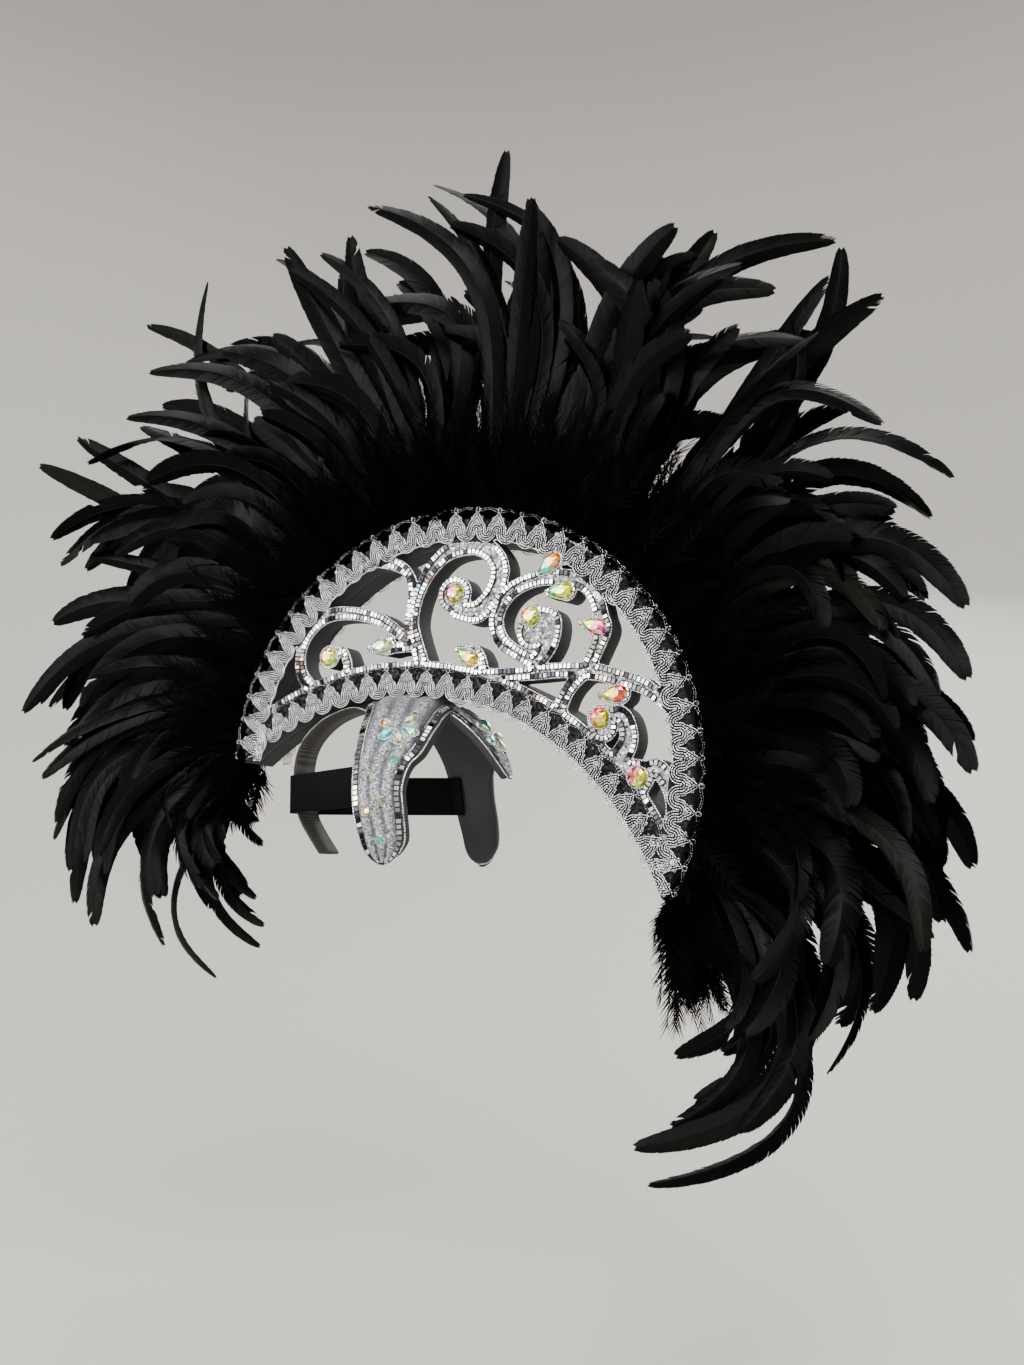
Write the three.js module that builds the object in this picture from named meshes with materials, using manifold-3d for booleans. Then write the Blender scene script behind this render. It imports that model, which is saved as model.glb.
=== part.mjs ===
// A crested feather headdress, as it is worn. Millimetres, +X ahead of the wearer, +Y to the wearer's
// left, +Z up. The origin is on the crown of the head, where the cap sits. A crescent of foam stands on
// the middle line over a cap of padded leaves, and long tail feathers fan out from its outer arc.
import * as THREE from 'three';
import Module from 'manifold-3d';

const wasm = await Module();
wasm.setup();

// Sizes of the crescent.
const crestRadius = 222;
const rimWidth = 18;
const saddleRadius = 264;
const saddleRise = 63;
const saddleDrop = saddleRadius - saddleRise;
const saddleWidth = 28;
const saddleShift = 6;
const crestLean = 18.4;
const roomTurn = 40;
const boardDepth = 22;
const ringDepth = 22;

// Sizes of the trim and the stones.
const laceWidth = 30;
const laceThick = 2;
const lacePitch = 20.7;
const picotValley = 0.6;
const scallopValley = 0.3;
const laceOver = 8;
const laceUnder = 3;
const roundStone = 18;
const dropLength = 26;
const dropWidth = 15;
const stoneHeight = 6;
const girdleShare = 0.25;
const tableShare = 0.5;
const padMargin = 2;
const petalLength = 17;
const petalWidth = 9.5;
const petalAway = 11.2;
const smallStone = 9;
const smallHeight = 3.2;
const stoneSink = 1.2;

// Sizes of the cap: the head hollow is an ellipsoid.
const headHalfLength = 99;
const headHalfWidth = 87;
const headHalfHeight = 109.5;
const headBack = 45;
const leafWall = 6.5;
const leafPadding = 3.5;
const leafWidth = 80;
const leafDrop = 111;
const lobeWidth = 46;
const lobeTurn = 69;
const seatBack = 50;
const seatPress = 1.5;

// Sizes of the hoop and the elastic behind the head.
const hoopWidth = 30;
const hoopThick = 2.5;
const hoopReach = 82;
const hoopDrop = 125;
const strapHeight = 35;
const strapThick = 1.6;
const strapLevel = 49;
const strapTuck = 14;

// Sizes of the feathers.
const boaLength = 52;
const boaHalfWidth = 34;
const boaSeat = 13;
const boaBulge = 0.38;
const boaLocks = 4;
const fanLocks = 4;
const lockDepth = 0.86;
const featherWidth = 24;
const featherThick = 2.6;
const quillDepth = 0.7;
const quillSide = 7.5;
const fanCurve = 1.3;
const featherTwist = 25;
const fanHalfWidth = 85;
const thickDepth = 14;
const fanSectors = 9;

// Clearance between pieces that touch.
const fit = 0.3;

// How fine the round shapes are: steps of an arc, sides of a stone.
const rimSteps = 48;
const holeSteps = 40;
const saddleSteps = 0.6;
const crestSides = 10;
const smallSides = 8;
const eyeSides = 14;
const hoopSteps = 14;

const percent = crestRadius / 100;
const degree = Math.PI / 180;

// Scrolls of the near board: along, up and width, in hundredths of the crescent's radius, measured
// from the centre of its outer arc.
const scrolls = {
  backLoop: [
    [-36.9, 44.6, 4.1], [-45.5, 47.5, 5.0], [-52.7, 48.9, 5.2], [-64.9, 48.2, 5.4], [-75.2, 45.0, 5.9],
    [-81.1, 39.2, 5.4], [-84.2, 31.5, 5.0], [-83.8, 23.9, 5.0], [-80.6, 18.0, 5.4], [-74.8, 14.4, 5.4],
    [-69.4, 14.4, 4.5],
  ],
  backCurl: [
    [-59.0, 16.0, 4.5], [-59.5, 25.7, 4.1], [-61.7, 29.7, 4.1], [-64.9, 32.0, 4.1], [-69.8, 28.4, 3.6],
  ],
  backBranch: [
    [-60.4, 71.2, 4.5], [-51.8, 72.1, 5.0], [-45.5, 70.7, 4.5], [-41.0, 66.7, 4.1], [-39.2, 60.8, 3.6],
    [-38.3, 55.0, 3.6], [-36.5, 48.2, 4.1], [-34.2, 42.8, 4.1],
  ],
  crownSpiral: [
    [-27.0, 38.0, 6.3], [-31.5, 44.6, 5.4], [-35.1, 51.4, 4.5], [-36.5, 59.5, 5.0], [-36.0, 67.1, 5.4],
    [-34.2, 73.9, 6.3], [-30.2, 80.6, 6.8], [-24.3, 85.1, 7.4], [-16.2, 87.8, 8.1], [-9.0, 86.0, 8.1],
    [-4.1, 81.5, 8.1], [-2.9, 75.2, 8.1], [-4.5, 68.5, 8.1], [-8.6, 62.2, 9.0], [-17.1, 60.8, 7.2],
  ],
  frontLoop: [
    [21.6, 49.5, 5.4], [13.1, 51.4, 5.4], [5.9, 54.1, 5.9], [1.4, 59.9, 6.3], [0.9, 66.2, 6.3],
    [2.7, 72.1, 6.8], [7.2, 77.0, 6.3], [14.0, 81.1, 6.3], [21.6, 83.3, 6.3], [28.8, 84.2, 6.3],
    [35.6, 82.4, 6.3], [40.5, 77.9, 6.3], [43.7, 73.0, 6.3], [45.9, 68.5, 7.2], [45.9, 61.7, 5.9],
    [45.0, 55.0, 5.9], [46.4, 52.3, 5.9],
  ],
  frontCurl: [[23.0, 50.0, 7.2], [25.2, 55.9, 8.1], [25.7, 61.7, 8.1], [23.9, 67.1, 7.7], [18.5, 68.0, 6.3]],
  longArm: [
    [2.0, 39.0, 5.4], [16.2, 43.2, 5.4], [25.2, 46.4, 5.9], [34.2, 49.5, 5.9], [46.4, 52.3, 6.3],
    [56.8, 52.7, 6.3], [68.0, 52.3, 5.9], [77.0, 49.1, 5.4], [83.0, 47.0, 5.4],
  ],
  lowerArm: [[42.3, 50.0, 6.3], [39.6, 43.7, 5.4], [38.3, 37.8, 5.9], [38.3, 32.4, 6.3], [41.4, 25.0, 6.3]],
  lowerCurl: [[64.8, 18.0, 9.9], [68.5, 29.3, 8.1], [67.1, 35.6, 7.2], [63.1, 39.6, 6.8], [57.7, 38.3, 6.3]],
  tipArm: [[94.5, 4.0, 3.6], [91.0, 15.3, 4.5], [87.4, 21.6, 6.3], [82.0, 24.8, 7.2], [77.0, 21.2, 6.3]],
  backTwig: [[-31.0, 43.0, 4.5], [-41.4, 39.2, 4.5]],
  middleTwig: [[-7.7, 48.2, 3.6], [-3.2, 47.3, 4.1], [0.5, 43.7, 4.1], [2.7, 38.5, 4.1]],
  tipLink: [[70.0, 22.0, 7.0], [76.1, 19.8, 8.0], [79.0, 9.0, 6.0]],
};

// Round plates where the scrolls end: along, up and radius, in hundredths of the crescent's radius.
const eyes = [
  [-69.8, 28.4, 4.8], [-20.3, 66.6, 7.4], [15.3, 66.2, 5.2], [18.0, 60.5, 7.0], [55.0, 36.5, 5.2],
  [57.5, 33.5, 5.6], [76.1, 19.8, 6.4],
];

// Stones of the crescent: along and up in hundredths of its radius, and for a drop the way its tip points.
const roundStones = [
  ['crest_round_1', -69.8, 28.4], ['crest_round_2', -20.3, 67.1], ['crest_round_3', 15.3, 66.2],
  ['crest_round_4', 55.0, 36.5], ['crest_round_5', 76.1, 19.8],
];
const dropStones = [
  ['crest_drop_1', -46.8, 38.7, 205], ['crest_drop_2', -6.8, 44.6, 160], ['crest_drop_3', 16.7, 87.0, 240],
  ['crest_drop_4', 24.3, 78.4, 200], ['crest_drop_5', 41.9, 68.9, 177], ['crest_drop_6', 57.7, 46.4, 200],
];

// Outline of a side leaf: way down from the crown as a share of its drop, and its back and front
// edge as shares of its width.
const leafOutline = [
  [0.00, -0.98, 0.08], [0.14, -0.93, 0.09], [0.23, -0.84, 0.10], [0.32, -0.75, 0.11], [0.48, -0.67, 0.08],
  [0.57, -0.64, -0.01], [0.67, -0.60, -0.04], [0.76, -0.56, -0.01], [0.86, -0.475, 0.01],
  [0.94, -0.35, -0.02], [0.98, -0.28, -0.09], [1.00, -0.23, -0.14],
];

// Outline of the front lobe: way from the side leaves to its tip, and its width, as shares.
const lobeOutline = [
  [0.00, 1.00], [0.20, 0.92], [0.40, 0.82], [0.60, 0.68], [0.80, 0.48], [0.94, 0.26], [1.00, 0.12],
];

// Padded channels across a leaf: place as a share of its width, and height as a share of the padding.
const channels = [
  [0.00, 0.0], [0.13, 0.1], [0.25, 1.0], [0.38, 0.25], [0.50, 1.0], [0.62, 0.25], [0.75, 1.0], [0.87, 0.1],
  [1.00, 0.0],
];

// Stones of a side leaf: front edge distance as a share of its width and angle as a share of its drop.
const leafFlower = [-0.21, 0.41];
const leafPetals = [168, 232, 292, 350, 60];
const leafRounds = [[-0.40, 0.64], [-0.15, 0.585], [-0.21, 0.75], [-0.36, 0.795], [-0.21, 0.91]];
const lobeFlower = 0.50;
const lobePetals = [90, 162, 234, 306, 18];

// The hoop's run from the cap round behind the head, as shares of its reach and its drop.
const hoopRun = [
  [0.00, 0.035], [0.24, -0.02], [0.55, 0.03], [0.78, 0.125], [0.93, 0.25], [0.985, 0.42], [0.96, 0.60],
  [0.905, 0.74], [0.79, 0.86], [0.63, 1.00],
];

// Tail feathers: root and tip as degrees from the top of the arc, ahead positive; reach of the tip in
// crescent radii; bow as a share of the length, ahead positive; side and breadth as shares.
const feathers = [
  [-103, -126, 1.16, 0.22, 0.30, 0.9],
  [-101, -147, 1.30, 0.30, 0.55, 0.7],
  [-99, -135, 1.55, 0.30, 0.20, 0.9],
  [-97, -129, 1.72, 0.22, 0.75, 0.9],
  [-94, -124, 1.91, 0.22, 0.45, 1.0],
  [-90, -119, 2.00, 0.20, 0.15, 1.0],
  [-86, -115, 2.18, 0.17, 0.65, 1.0],
  [-80, -108, 2.12, 0.17, 0.70, 1.0],
  [-76, -103, 2.22, 0.16, 0.25, 1.0],
  [-72, -99, 2.43, 0.12, 0.85, 0.9],
  [-68, -94, 2.34, 0.20, 0.50, 1.0],
  [-65, -75, 2.92, 0.01, 0.15, 0.9],
  [-62, -84, 2.22, 0.22, 0.75, 1.0],
  [-57, -79, 2.25, 0.16, 0.70, 1.0],
  [-53, -48, 2.59, -0.17, 0.20, 0.8],
  [-50, -69, 2.23, 0.20, 0.85, 1.0],
  [-46, -63, 2.31, 0.11, 0.45, 1.0],
  [-42, -56, 2.68, 0.07, 0.12, 0.8],
  [-38, -57, 2.33, 0.14, 0.65, 1.0],
  [-34, -50, 2.20, 0.14, 0.80, 1.0],
  [-30, -52, 2.46, 0.15, 0.40, 0.9],
  [-28, -42, 2.61, 0.09, 0.12, 0.8],
  [-25, -37, 2.46, -0.02, 0.60, 1.0],
  [-22, -34, 2.17, 0.34, 0.85, 0.9],
  [-17, -32, 2.41, 0.15, 0.30, 0.9],
  [-12, -13, 2.53, -0.03, 0.15, 0.9],
  [-9, -25, 2.32, 0.20, 0.75, 0.9],
  [-4, -9, 2.24, 0.14, 0.40, 1.0],
  [0, -21, 2.48, 0.18, 0.10, 0.8],
  [4, 9, 2.20, -0.10, 0.60, 1.1],
  [7, 22, 2.41, -0.20, 0.25, 0.9],
  [12, 1, 2.23, 0.14, 0.70, 1.0],
  [15, 8, 2.33, -0.04, 0.30, 1.1],
  [18, 21, 2.17, -0.20, 0.85, 1.0],
  [22, 27, 2.37, -0.05, 0.15, 1.0],
  [27, 20, 2.47, 0.10, 0.45, 0.9],
  [30, 43, 2.13, -0.26, 0.65, 1.0],
  [34, 49, 2.02, -0.24, 0.35, 1.0],
  [39, 59, 2.03, -0.22, 0.70, 1.0],
  [44, 55, 1.90, -0.20, 0.12, 1.0],
  [48, 65, 1.98, -0.22, 0.50, 1.0],
  [53, 74, 1.99, -0.16, 0.80, 1.0],
  [58, 70, 1.92, -0.16, 0.25, 1.0],
  [63, 83, 1.93, -0.16, 0.60, 1.0],
  [69, 91, 1.99, -0.13, 0.30, 1.0],
  [75, 98, 1.86, -0.20, 0.75, 1.0],
  [80, 107, 1.80, -0.26, 0.45, 1.0],
  [85, 133, 1.68, -0.36, 0.15, 0.9],
  [90, 117, 1.72, -0.26, 0.75, 1.0],
  [94, 126, 1.61, -0.24, 0.40, 0.9],
  [99, 113, 1.25, -0.12, 0.20, 1.0],
];

// Flow of the fan: degrees from the top, how far the feathers sweep by their tips, and reach of the
// thick of the fan in crescent radii. The sweep grows with the power fanSweep up to fanReach.
const fanFlow = [
  [-105, -38, 1.40], [-80, -27, 1.90], [-55, -20, 1.90], [-30, -14, 1.85], [-5, -6, 1.70], [15, 5, 1.70],
  [35, 17, 1.85], [60, 21, 1.90], [80, 25, 1.80], [102, 28, 1.40],
];
const fanReach = 2.1;
const fanSweep = 1.5;

// How a feather narrows: way along it, and breadth as a share.
const vane = [[0.00, 0.35], [0.30, 0.90], [0.62, 1.00], [0.88, 0.65], [1.00, 0.12]];

// Finishes.
const blackFoam = new THREE.MeshStandardMaterial({ color: 0x1d1d1f, roughness: 0.85, metalness: 0 });
const silverLace = new THREE.MeshStandardMaterial({ color: 0xc9cbcd, roughness: 0.35, metalness: 0.8 });
const silverCloth = new THREE.MeshStandardMaterial({ color: 0x9a9ca0, roughness: 0.5, metalness: 0.5 });
const crystal = new THREE.MeshStandardMaterial({ color: 0xb9d8b0, roughness: 0.08, metalness: 0.2 });
const greyBand = new THREE.MeshStandardMaterial({ color: 0x77756f, roughness: 0.6, metalness: 0.2 });
const blackElastic = new THREE.MeshStandardMaterial({ color: 0x0c0c0d, roughness: 0.9, metalness: 0 });
const blackFeather = new THREE.MeshStandardMaterial({ color: 0x0b0b0c, roughness: 0.6, metalness: 0 });

// A closed body from points and triangles, turned so that its faces point out.
function body(points, triangles) {
  let volume = 0;
  for (const [a, b, c] of triangles) {
    volume += points[a].dot(new THREE.Vector3().crossVectors(points[b], points[c]));
  }
  const turned = volume < 0 ? triangles.map(([a, b, c]) => [a, c, b]) : triangles;
  const vertProperties = Float32Array.from(points.flatMap((p) => [p.x, p.y, p.z]));
  const triVerts = Uint32Array.from(turned.flat());
  return new wasm.Manifold(new wasm.Mesh({ numProp: 3, vertProperties, triVerts }));
}

// A skin over rings of one even count, closed by a strip of faces at each end.
function loft(rings) {
  const count = rings[0].length;
  const triangles = [];
  for (let i = 0; i + 1 < rings.length; i += 1) {
    for (let j = 0; j < count; j += 1) {
      const a = i * count + j;
      const b = i * count + ((j + 1) % count);
      triangles.push([a, b, b + count], [a, b + count, a + count]);
    }
  }
  const last = (rings.length - 1) * count;
  for (let j = 0; j + 1 < count / 2; j += 1) {
    const k = count - 1 - j;
    for (const [start, flip] of [[0, true], [last, false]]) {
      const quad = [[j, j + 1, k - 1], [j, k - 1, k]].filter((t) => new Set(t).size === 3);
      for (const t of quad) {
        const face = t.map((v) => v + start);
        triangles.push(flip ? face.reverse() : face);
      }
    }
  }
  return body(rings.flat(), triangles);
}

// A flat outline in the crescent's plane, from one depth to another.
function plate(outline, nearY, farY) {
  const count = outline.length;
  const faces = THREE.ShapeUtils.triangulateShape(outline, []);
  const same = THREE.ShapeUtils.area(faces[0].map((i) => outline[i])) * THREE.ShapeUtils.area(outline) > 0;
  const near = same ? faces : faces.map(([a, b, c]) => [a, c, b]);
  const points = [nearY, farY].flatMap((y) => outline.map((p) => new THREE.Vector3(p.x, y, p.y)));
  const triangles = near.flatMap(([a, b, c]) => [[a, b, c], [a + count, c + count, b + count]]);
  for (let i = 0; i < count; i += 1) {
    const j = (i + 1) % count;
    triangles.push([j, i, i + count], [j, i + count, j + count]);
  }
  return body(points, triangles);
}

// Points of an arc, angles in degrees from straight up, ahead positive.
function arc(centreX, centreZ, radius, from, to, steps) {
  return Array.from({ length: steps + 1 }, (_, i) => {
    const angle = (from + ((to - from) * i) / steps) * degree;
    return new THREE.Vector2(centreX + radius * Math.sin(angle), centreZ + radius * Math.cos(angle));
  });
}

// A crescent between a circle round the arc's centre and one round the saddle's centre.
function crescent(outerRadius, innerRadius, steps) {
  const apart = Math.hypot(saddleDrop, saddleShift);
  const along = (outerRadius ** 2 - innerRadius ** 2 + apart ** 2) / (2 * apart);
  const half = Math.acos(along / outerRadius);
  const down = Math.atan2(saddleShift, -saddleDrop);
  const front = (down - half) / degree;
  const back = (down + half) / degree - 360;
  const outer = arc(0, 0, outerRadius, back, front, steps);
  const ends = [outer[outer.length - 1], outer[0]].map(
    (p) => Math.atan2(p.x - saddleShift, p.y + saddleDrop) / degree,
  );
  const inner = arc(saddleShift, -saddleDrop, innerRadius, ...ends, Math.round(steps * saddleSteps));
  return { outline: [...outer, ...inner.slice(1, -1)], front, back, ends };
}

const rimShape = crescent(crestRadius, saddleRadius, rimSteps);
const holeShape = crescent(crestRadius - rimWidth, saddleRadius + saddleWidth, holeSteps);

// A ribbon of changing width along a smooth line, as a flat outline.
function ribbon(rows) {
  const line = new THREE.CatmullRomCurve3(rows.map(([x, z, w]) => new THREE.Vector3(x, z, w)));
  const steps = (rows.length - 1) * 2;
  const left = [];
  const right = [];
  for (let i = 0; i <= steps; i += 1) {
    const at = line.getPoint(i / steps);
    const way = line.getTangent(i / steps);
    const length = Math.hypot(way.x, way.y);
    const across = new THREE.Vector2(-way.y / length, way.x / length).multiplyScalar(at.z / 2);
    left.push(new THREE.Vector2(at.x + across.x, at.y + across.y).multiplyScalar(percent));
    right.push(new THREE.Vector2(at.x - across.x, at.y - across.y).multiplyScalar(percent));
  }
  return [...left, ...right.reverse()];
}

// Outlines of round and drop stones, the drop's tip along +X.
function roundOutline(diameter, sides) {
  return Array.from({ length: sides }, (_, i) => {
    const angle = ((i + 0.5) * 2 * Math.PI) / sides;
    return new THREE.Vector2(Math.cos(angle), Math.sin(angle)).multiplyScalar(diameter / 2);
  });
}

function dropOutline(length, width, sides) {
  const widest = 4 / Math.sqrt(27);
  return Array.from({ length: sides }, (_, i) => {
    const angle = (i * 2 * Math.PI) / sides;
    const bulge = (Math.sin(angle) * Math.sin(angle / 2)) / widest;
    return new THREE.Vector2((Math.cos(angle) * length) / 2, (bulge * width) / 2);
  });
}

// A cut stone: flat back, sloping crown facets and a flat table, built up along +Z. A large one has
// an upright girdle too.
function cutStone(outline, height, girdle) {
  const level = (share, z) => outline.map((p) => new THREE.Vector3(p.x * share, p.y * share, z));
  const rings = [level(1, 0), level(tableShare, height)];
  if (girdle > 0) rings.splice(1, 0, level(1, girdle * height));
  return loft(rings);
}

// A straight block over an outline, built up along +Z.
function block(outline, low, high) {
  return loft([low, high].map((z) => outline.map((p) => new THREE.Vector3(p.x, p.y, z))));
}

function grown(outline, margin) {
  return outline.map((p) => p.clone().setLength(p.length() + margin));
}

function moved(solid, matrix) {
  return solid.transform(matrix.elements);
}

function named(name, solid, material) {
  const { vertProperties, triVerts } = solid.getMesh();
  const geometry = new THREE.BufferGeometry();
  geometry.setAttribute('position', new THREE.BufferAttribute(Float32Array.from(vertProperties), 3));
  geometry.setIndex(new THREE.BufferAttribute(Uint32Array.from(triVerts), 1));
  const mesh = new THREE.Mesh(geometry, material);
  mesh.name = name;
  return mesh;
}

// The near board: rim, saddle band and scrolls in one sheet of foam, trimmed to the crescent.
function crestBoard() {
  const near = -boardDepth - fit / 2;
  const far = -fit / 2;
  const sheet = plate(rimShape.outline, near, far);
  let cut = sheet.subtract(plate(holeShape.outline, near - fit, far + fit));
  for (const rows of Object.values(scrolls)) cut = cut.add(plate(ribbon(rows), near, far));
  for (const [x, z, r] of eyes) {
    const eye = roundOutline(2 * r * percent, eyeSides);
    cut = cut.add(plate(eye.map((p) => p.add(new THREE.Vector2(x, z).multiplyScalar(percent))), near, far));
  }
  for (const [, x, z, tip] of dropStones) {
    const pad = grown(dropOutline(dropLength, dropWidth, crestSides), padMargin).map((p) => {
      const turned = p.rotateAround(new THREE.Vector2(), tip * degree);
      return turned.add(new THREE.Vector2(x, z).multiplyScalar(percent));
    });
    cut = cut.add(plate(pad, near, far));
  }
  return cut.intersect(sheet);
}

// The far board: the same crescent without scrolls.
function crestRing() {
  const near = fit / 2;
  const far = ringDepth + fit / 2;
  return plate(rimShape.outline, near, far).subtract(plate(holeShape.outline, near - fit, far + fit));
}

// Scalloped lace along an arc: picots outside, round scallops inside, set half a repeat apart.
function lace(centreX, centreZ, innerRadius, from, to, face, side) {
  const length = ((innerRadius + laceWidth / 2) * Math.abs(to - from)) * degree;
  const repeats = Math.round(length / lacePitch);
  const outer = [];
  const inner = [];
  for (let i = 0; i <= 2 * repeats; i += 1) {
    const angle = from + ((to - from) * i) / (2 * repeats);
    const tip = i % 2 === 1;
    const reach = innerRadius + laceWidth * (tip ? 1 : picotValley);
    const foot = innerRadius + laceWidth * (tip ? scallopValley : 0);
    outer.push(...arc(centreX, centreZ, reach, angle, angle, 1).slice(1));
    inner.push(...arc(centreX, centreZ, foot, angle, angle, 1).slice(1));
  }
  const ys = [face, face + side * laceThick];
  return plate([...outer, ...inner.reverse()], Math.min(...ys), Math.max(...ys));
}

// A point on the cap: fore and aft place, angle down from the crown in degrees, and height off the head.
const headCentreZ = -headHalfHeight * Math.sqrt(1 - (headBack / headHalfLength) ** 2);

function capPoint(x, angle, off) {
  const share = (x + headBack) / (headHalfLength + off);
  const size = Math.sqrt(Math.max(0, 1 - share * share));
  const y = (headHalfWidth + off) * size * Math.sin(angle * degree);
  const z = headCentreZ + (headHalfHeight + off) * size * Math.cos(angle * degree);
  return new THREE.Vector3(x, y, z);
}

// Where a pad's stone sits: a frame on the cap, +Z outwards and +X ahead.
function padFrame(at, nextAhead, nextAcross) {
  const ahead = nextAhead.sub(at).normalize();
  const down = nextAcross.sub(at).normalize();
  const out = new THREE.Vector3().crossVectors(ahead, down);
  if (out.dot(new THREE.Vector3(at.x + headBack, at.y, at.z - headCentreZ)) < 0) out.negate();
  const up = new THREE.Vector3().crossVectors(out.normalize(), ahead);
  return new THREE.Matrix4().makeBasis(ahead, up, out).setPosition(at);
}

function capFrame(x, angle, off) {
  return padFrame(capPoint(x, angle, off), capPoint(x + 1, angle, off), capPoint(x, angle + 1, off));
}

// The padded ring of one row of a leaf: outer face from back to front, inner face back again.
function padRow(inside, outside) {
  const outer = channels.map(([share, height]) => outside(share, leafWall + height * leafPadding));
  const inner = channels.map(([share]) => inside(share));
  return [...outer, ...inner.reverse()];
}

function sideLeaf(side) {
  const rings = leafOutline.map(([down, back, front]) => {
    const angle = side * down * leafDrop;
    const x = (share) => (back + (front - back) * share) * leafWidth;
    return padRow((s) => capPoint(x(s), angle, 0), (s, off) => capPoint(x(s), angle, off));
  });
  for (const ring of rings) for (const p of ring) p.y += (side * fit) / 2;
  return loft(rings);
}

// A point of the front lobe: way along it and across it as shares, and height off the head.
const lobeRoot = leafOutline[1][2] * leafWidth + fit;

function lobePoint(along, y, off) {
  const length = headHalfLength + off;
  const start = Math.asin((lobeRoot + headBack) / length);
  const turn = start + (lobeTurn * degree - start) * along;
  const left = Math.cos(turn) ** 2 - (y / (headHalfWidth + off)) ** 2;
  const z = headCentreZ + (headHalfHeight + off) * Math.sqrt(Math.max(0, left));
  return new THREE.Vector3(length * Math.sin(turn) - headBack, y, z);
}

function frontLobe() {
  const rings = lobeOutline.map(([along, wide]) => {
    const point = (share, off) => lobePoint(along, (share - 0.5) * wide * lobeWidth, off);
    return padRow((s) => point(s, 0), point);
  });
  return loft(rings);
}

// A stone with the pocket that it is sunk into.
function setStone(outline, height, frame) {
  const seat = frame.clone().multiply(new THREE.Matrix4().makeTranslation(0, 0, -stoneSink));
  const stone = moved(cutStone(outline, height, 0), seat);
  return { stone, pocket: moved(block(grown(outline, fit), -fit, height + fit), seat) };
}

function flower(frame, petals, prefix) {
  return petals.map((angle, i) => {
    const turn = new THREE.Matrix4().makeRotationZ((angle + 180) * degree);
    const away = new THREE.Matrix4().makeTranslation(-petalAway, 0, 0);
    const place = frame.clone().multiply(turn).multiply(away);
    const outline = dropOutline(petalLength, petalWidth, smallSides);
    return { name: `${prefix}_petal_${i + 1}`, ...setStone(outline, smallHeight, place) };
  });
}

function leafStones(side, prefix) {
  const [x, down] = leafFlower;
  const height = leafWall + leafPadding;
  const angle = side * down * leafDrop;
  const set = flower(capFrame(x * leafWidth, angle, height), leafPetals, prefix);
  leafRounds.forEach(([along, drop], i) => {
    const frame = capFrame(along * leafWidth, side * drop * leafDrop, height);
    const outline = roundOutline(smallStone, smallSides);
    set.push({ name: `${prefix}_round_${i + 1}`, ...setStone(outline, smallHeight, frame) });
  });
  return set;
}

// The hoop: a flat band bent in the middle plane, from the cap's back edge round behind the head.
const hoopStart = leafOutline[0][1] * leafWidth - fit;

function hoopLine() {
  const points = hoopRun.map(([back, down]) => {
    return new THREE.Vector3(hoopStart - back * hoopReach, 0, capPoint(hoopStart, 0, 0).z - down * hoopDrop);
  });
  return new THREE.CatmullRomCurve3(points);
}

function rearHoop() {
  const line = hoopLine();
  const rings = Array.from({ length: hoopSteps + 1 }, (_, i) => {
    const at = line.getPoint(i / hoopSteps);
    const way = i === 0 ? new THREE.Vector3(-1, 0, 0) : line.getTangent(i / hoopSteps);
    const out = new THREE.Vector3(way.z, 0, -way.x).multiplyScalar(hoopThick);
    const half = hoopWidth / 2;
    return [[0, -half], [1, -half], [1, half], [0, half]].map(([lift, y]) => {
      return at.clone().addScaledVector(out, lift).setY(y);
    });
  });
  return loft(rings);
}

// The elastic: inside one leaf, straight to the hoop, round its outer face and back to the other leaf.
function rearStrap() {
  const line = hoopLine();
  const levels = [-strapLevel - strapHeight, -strapLevel];
  const behind = Math.min(...line.getPoints(4 * hoopSteps).map((p) => p.x));
  const leafBack = leafOutline[5][1] * leafWidth;
  const inside = (x, z) => {
    const size = Math.sqrt(1 - ((x + headBack) / (headHalfLength - fit)) ** 2);
    const angle = Math.acos((z - headCentreZ) / ((headHalfHeight - fit) * size)) / degree;
    return capPoint(x, angle, -fit - strapThick);
  };
  const corner = (z) => new THREE.Vector3(behind - hoopThick - fit, hoopWidth / 2 + fit, z);
  const edges = levels.map((z) => {
    const half = [inside(leafBack + strapTuck, z), inside(leafBack, z), corner(z)];
    return [...half, ...half.slice().reverse().map((p) => new THREE.Vector3(p.x, -p.y, p.z))];
  });
  const rings = edges[0].map((_, i) => {
    const [low, high] = edges.map((run) => {
      const way = run[Math.min(run.length - 1, i + 1)].clone().sub(run[Math.max(0, i - 1)]);
      const out = new THREE.Vector3(way.y, -way.x, 0).setLength(strapThick);
      return [run[i].clone(), run[i].clone().add(out)];
    });
    return [low[0], low[1], high[1], high[0]].map((p, k) => p.setZ(levels[k < 2 ? 0 : 1]));
  });
  return loft(rings);
}

// A value of the fan's flow at an angle, between the rows of its table.
function flow(angle, column) {
  const next = Math.min(fanFlow.length - 1, Math.max(1, fanFlow.findIndex((row) => row[0] >= angle)));
  const [before, after] = [fanFlow[next - 1], fanFlow[next]];
  const share = (angle - before[0]) / (after[0] - before[0]);
  return before[column] + (after[column] - before[column]) * share;
}

// One sector of the boa along the outer arc, in fluffy locks, or the room round it.
function boaSector(from, to, room) {
  const slack = (fit - room) / crestRadius / degree;
  const rings = Array.from({ length: boaLocks + 1 }, (_, i) => {
    const angle = from + slack + ((to - from - 2 * slack) * i) / boaLocks;
    const lock = i % 2 === 0 ? lockDepth : 1;
    const half = [
      [fit - room, boaSeat + room], [boaBulge * boaLength, boaHalfWidth * lock + room],
      [boaLength * lock + room, featherThick + room],
    ];
    return [...half.map(([out, y]) => [out, -y]), ...half.reverse()].map(([out, y]) => {
      const [p] = arc(0, 0, crestRadius + out, angle, angle, 1);
      return new THREE.Vector3(p.x, y, p.y);
    });
  });
  return loft(rings);
}

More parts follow.
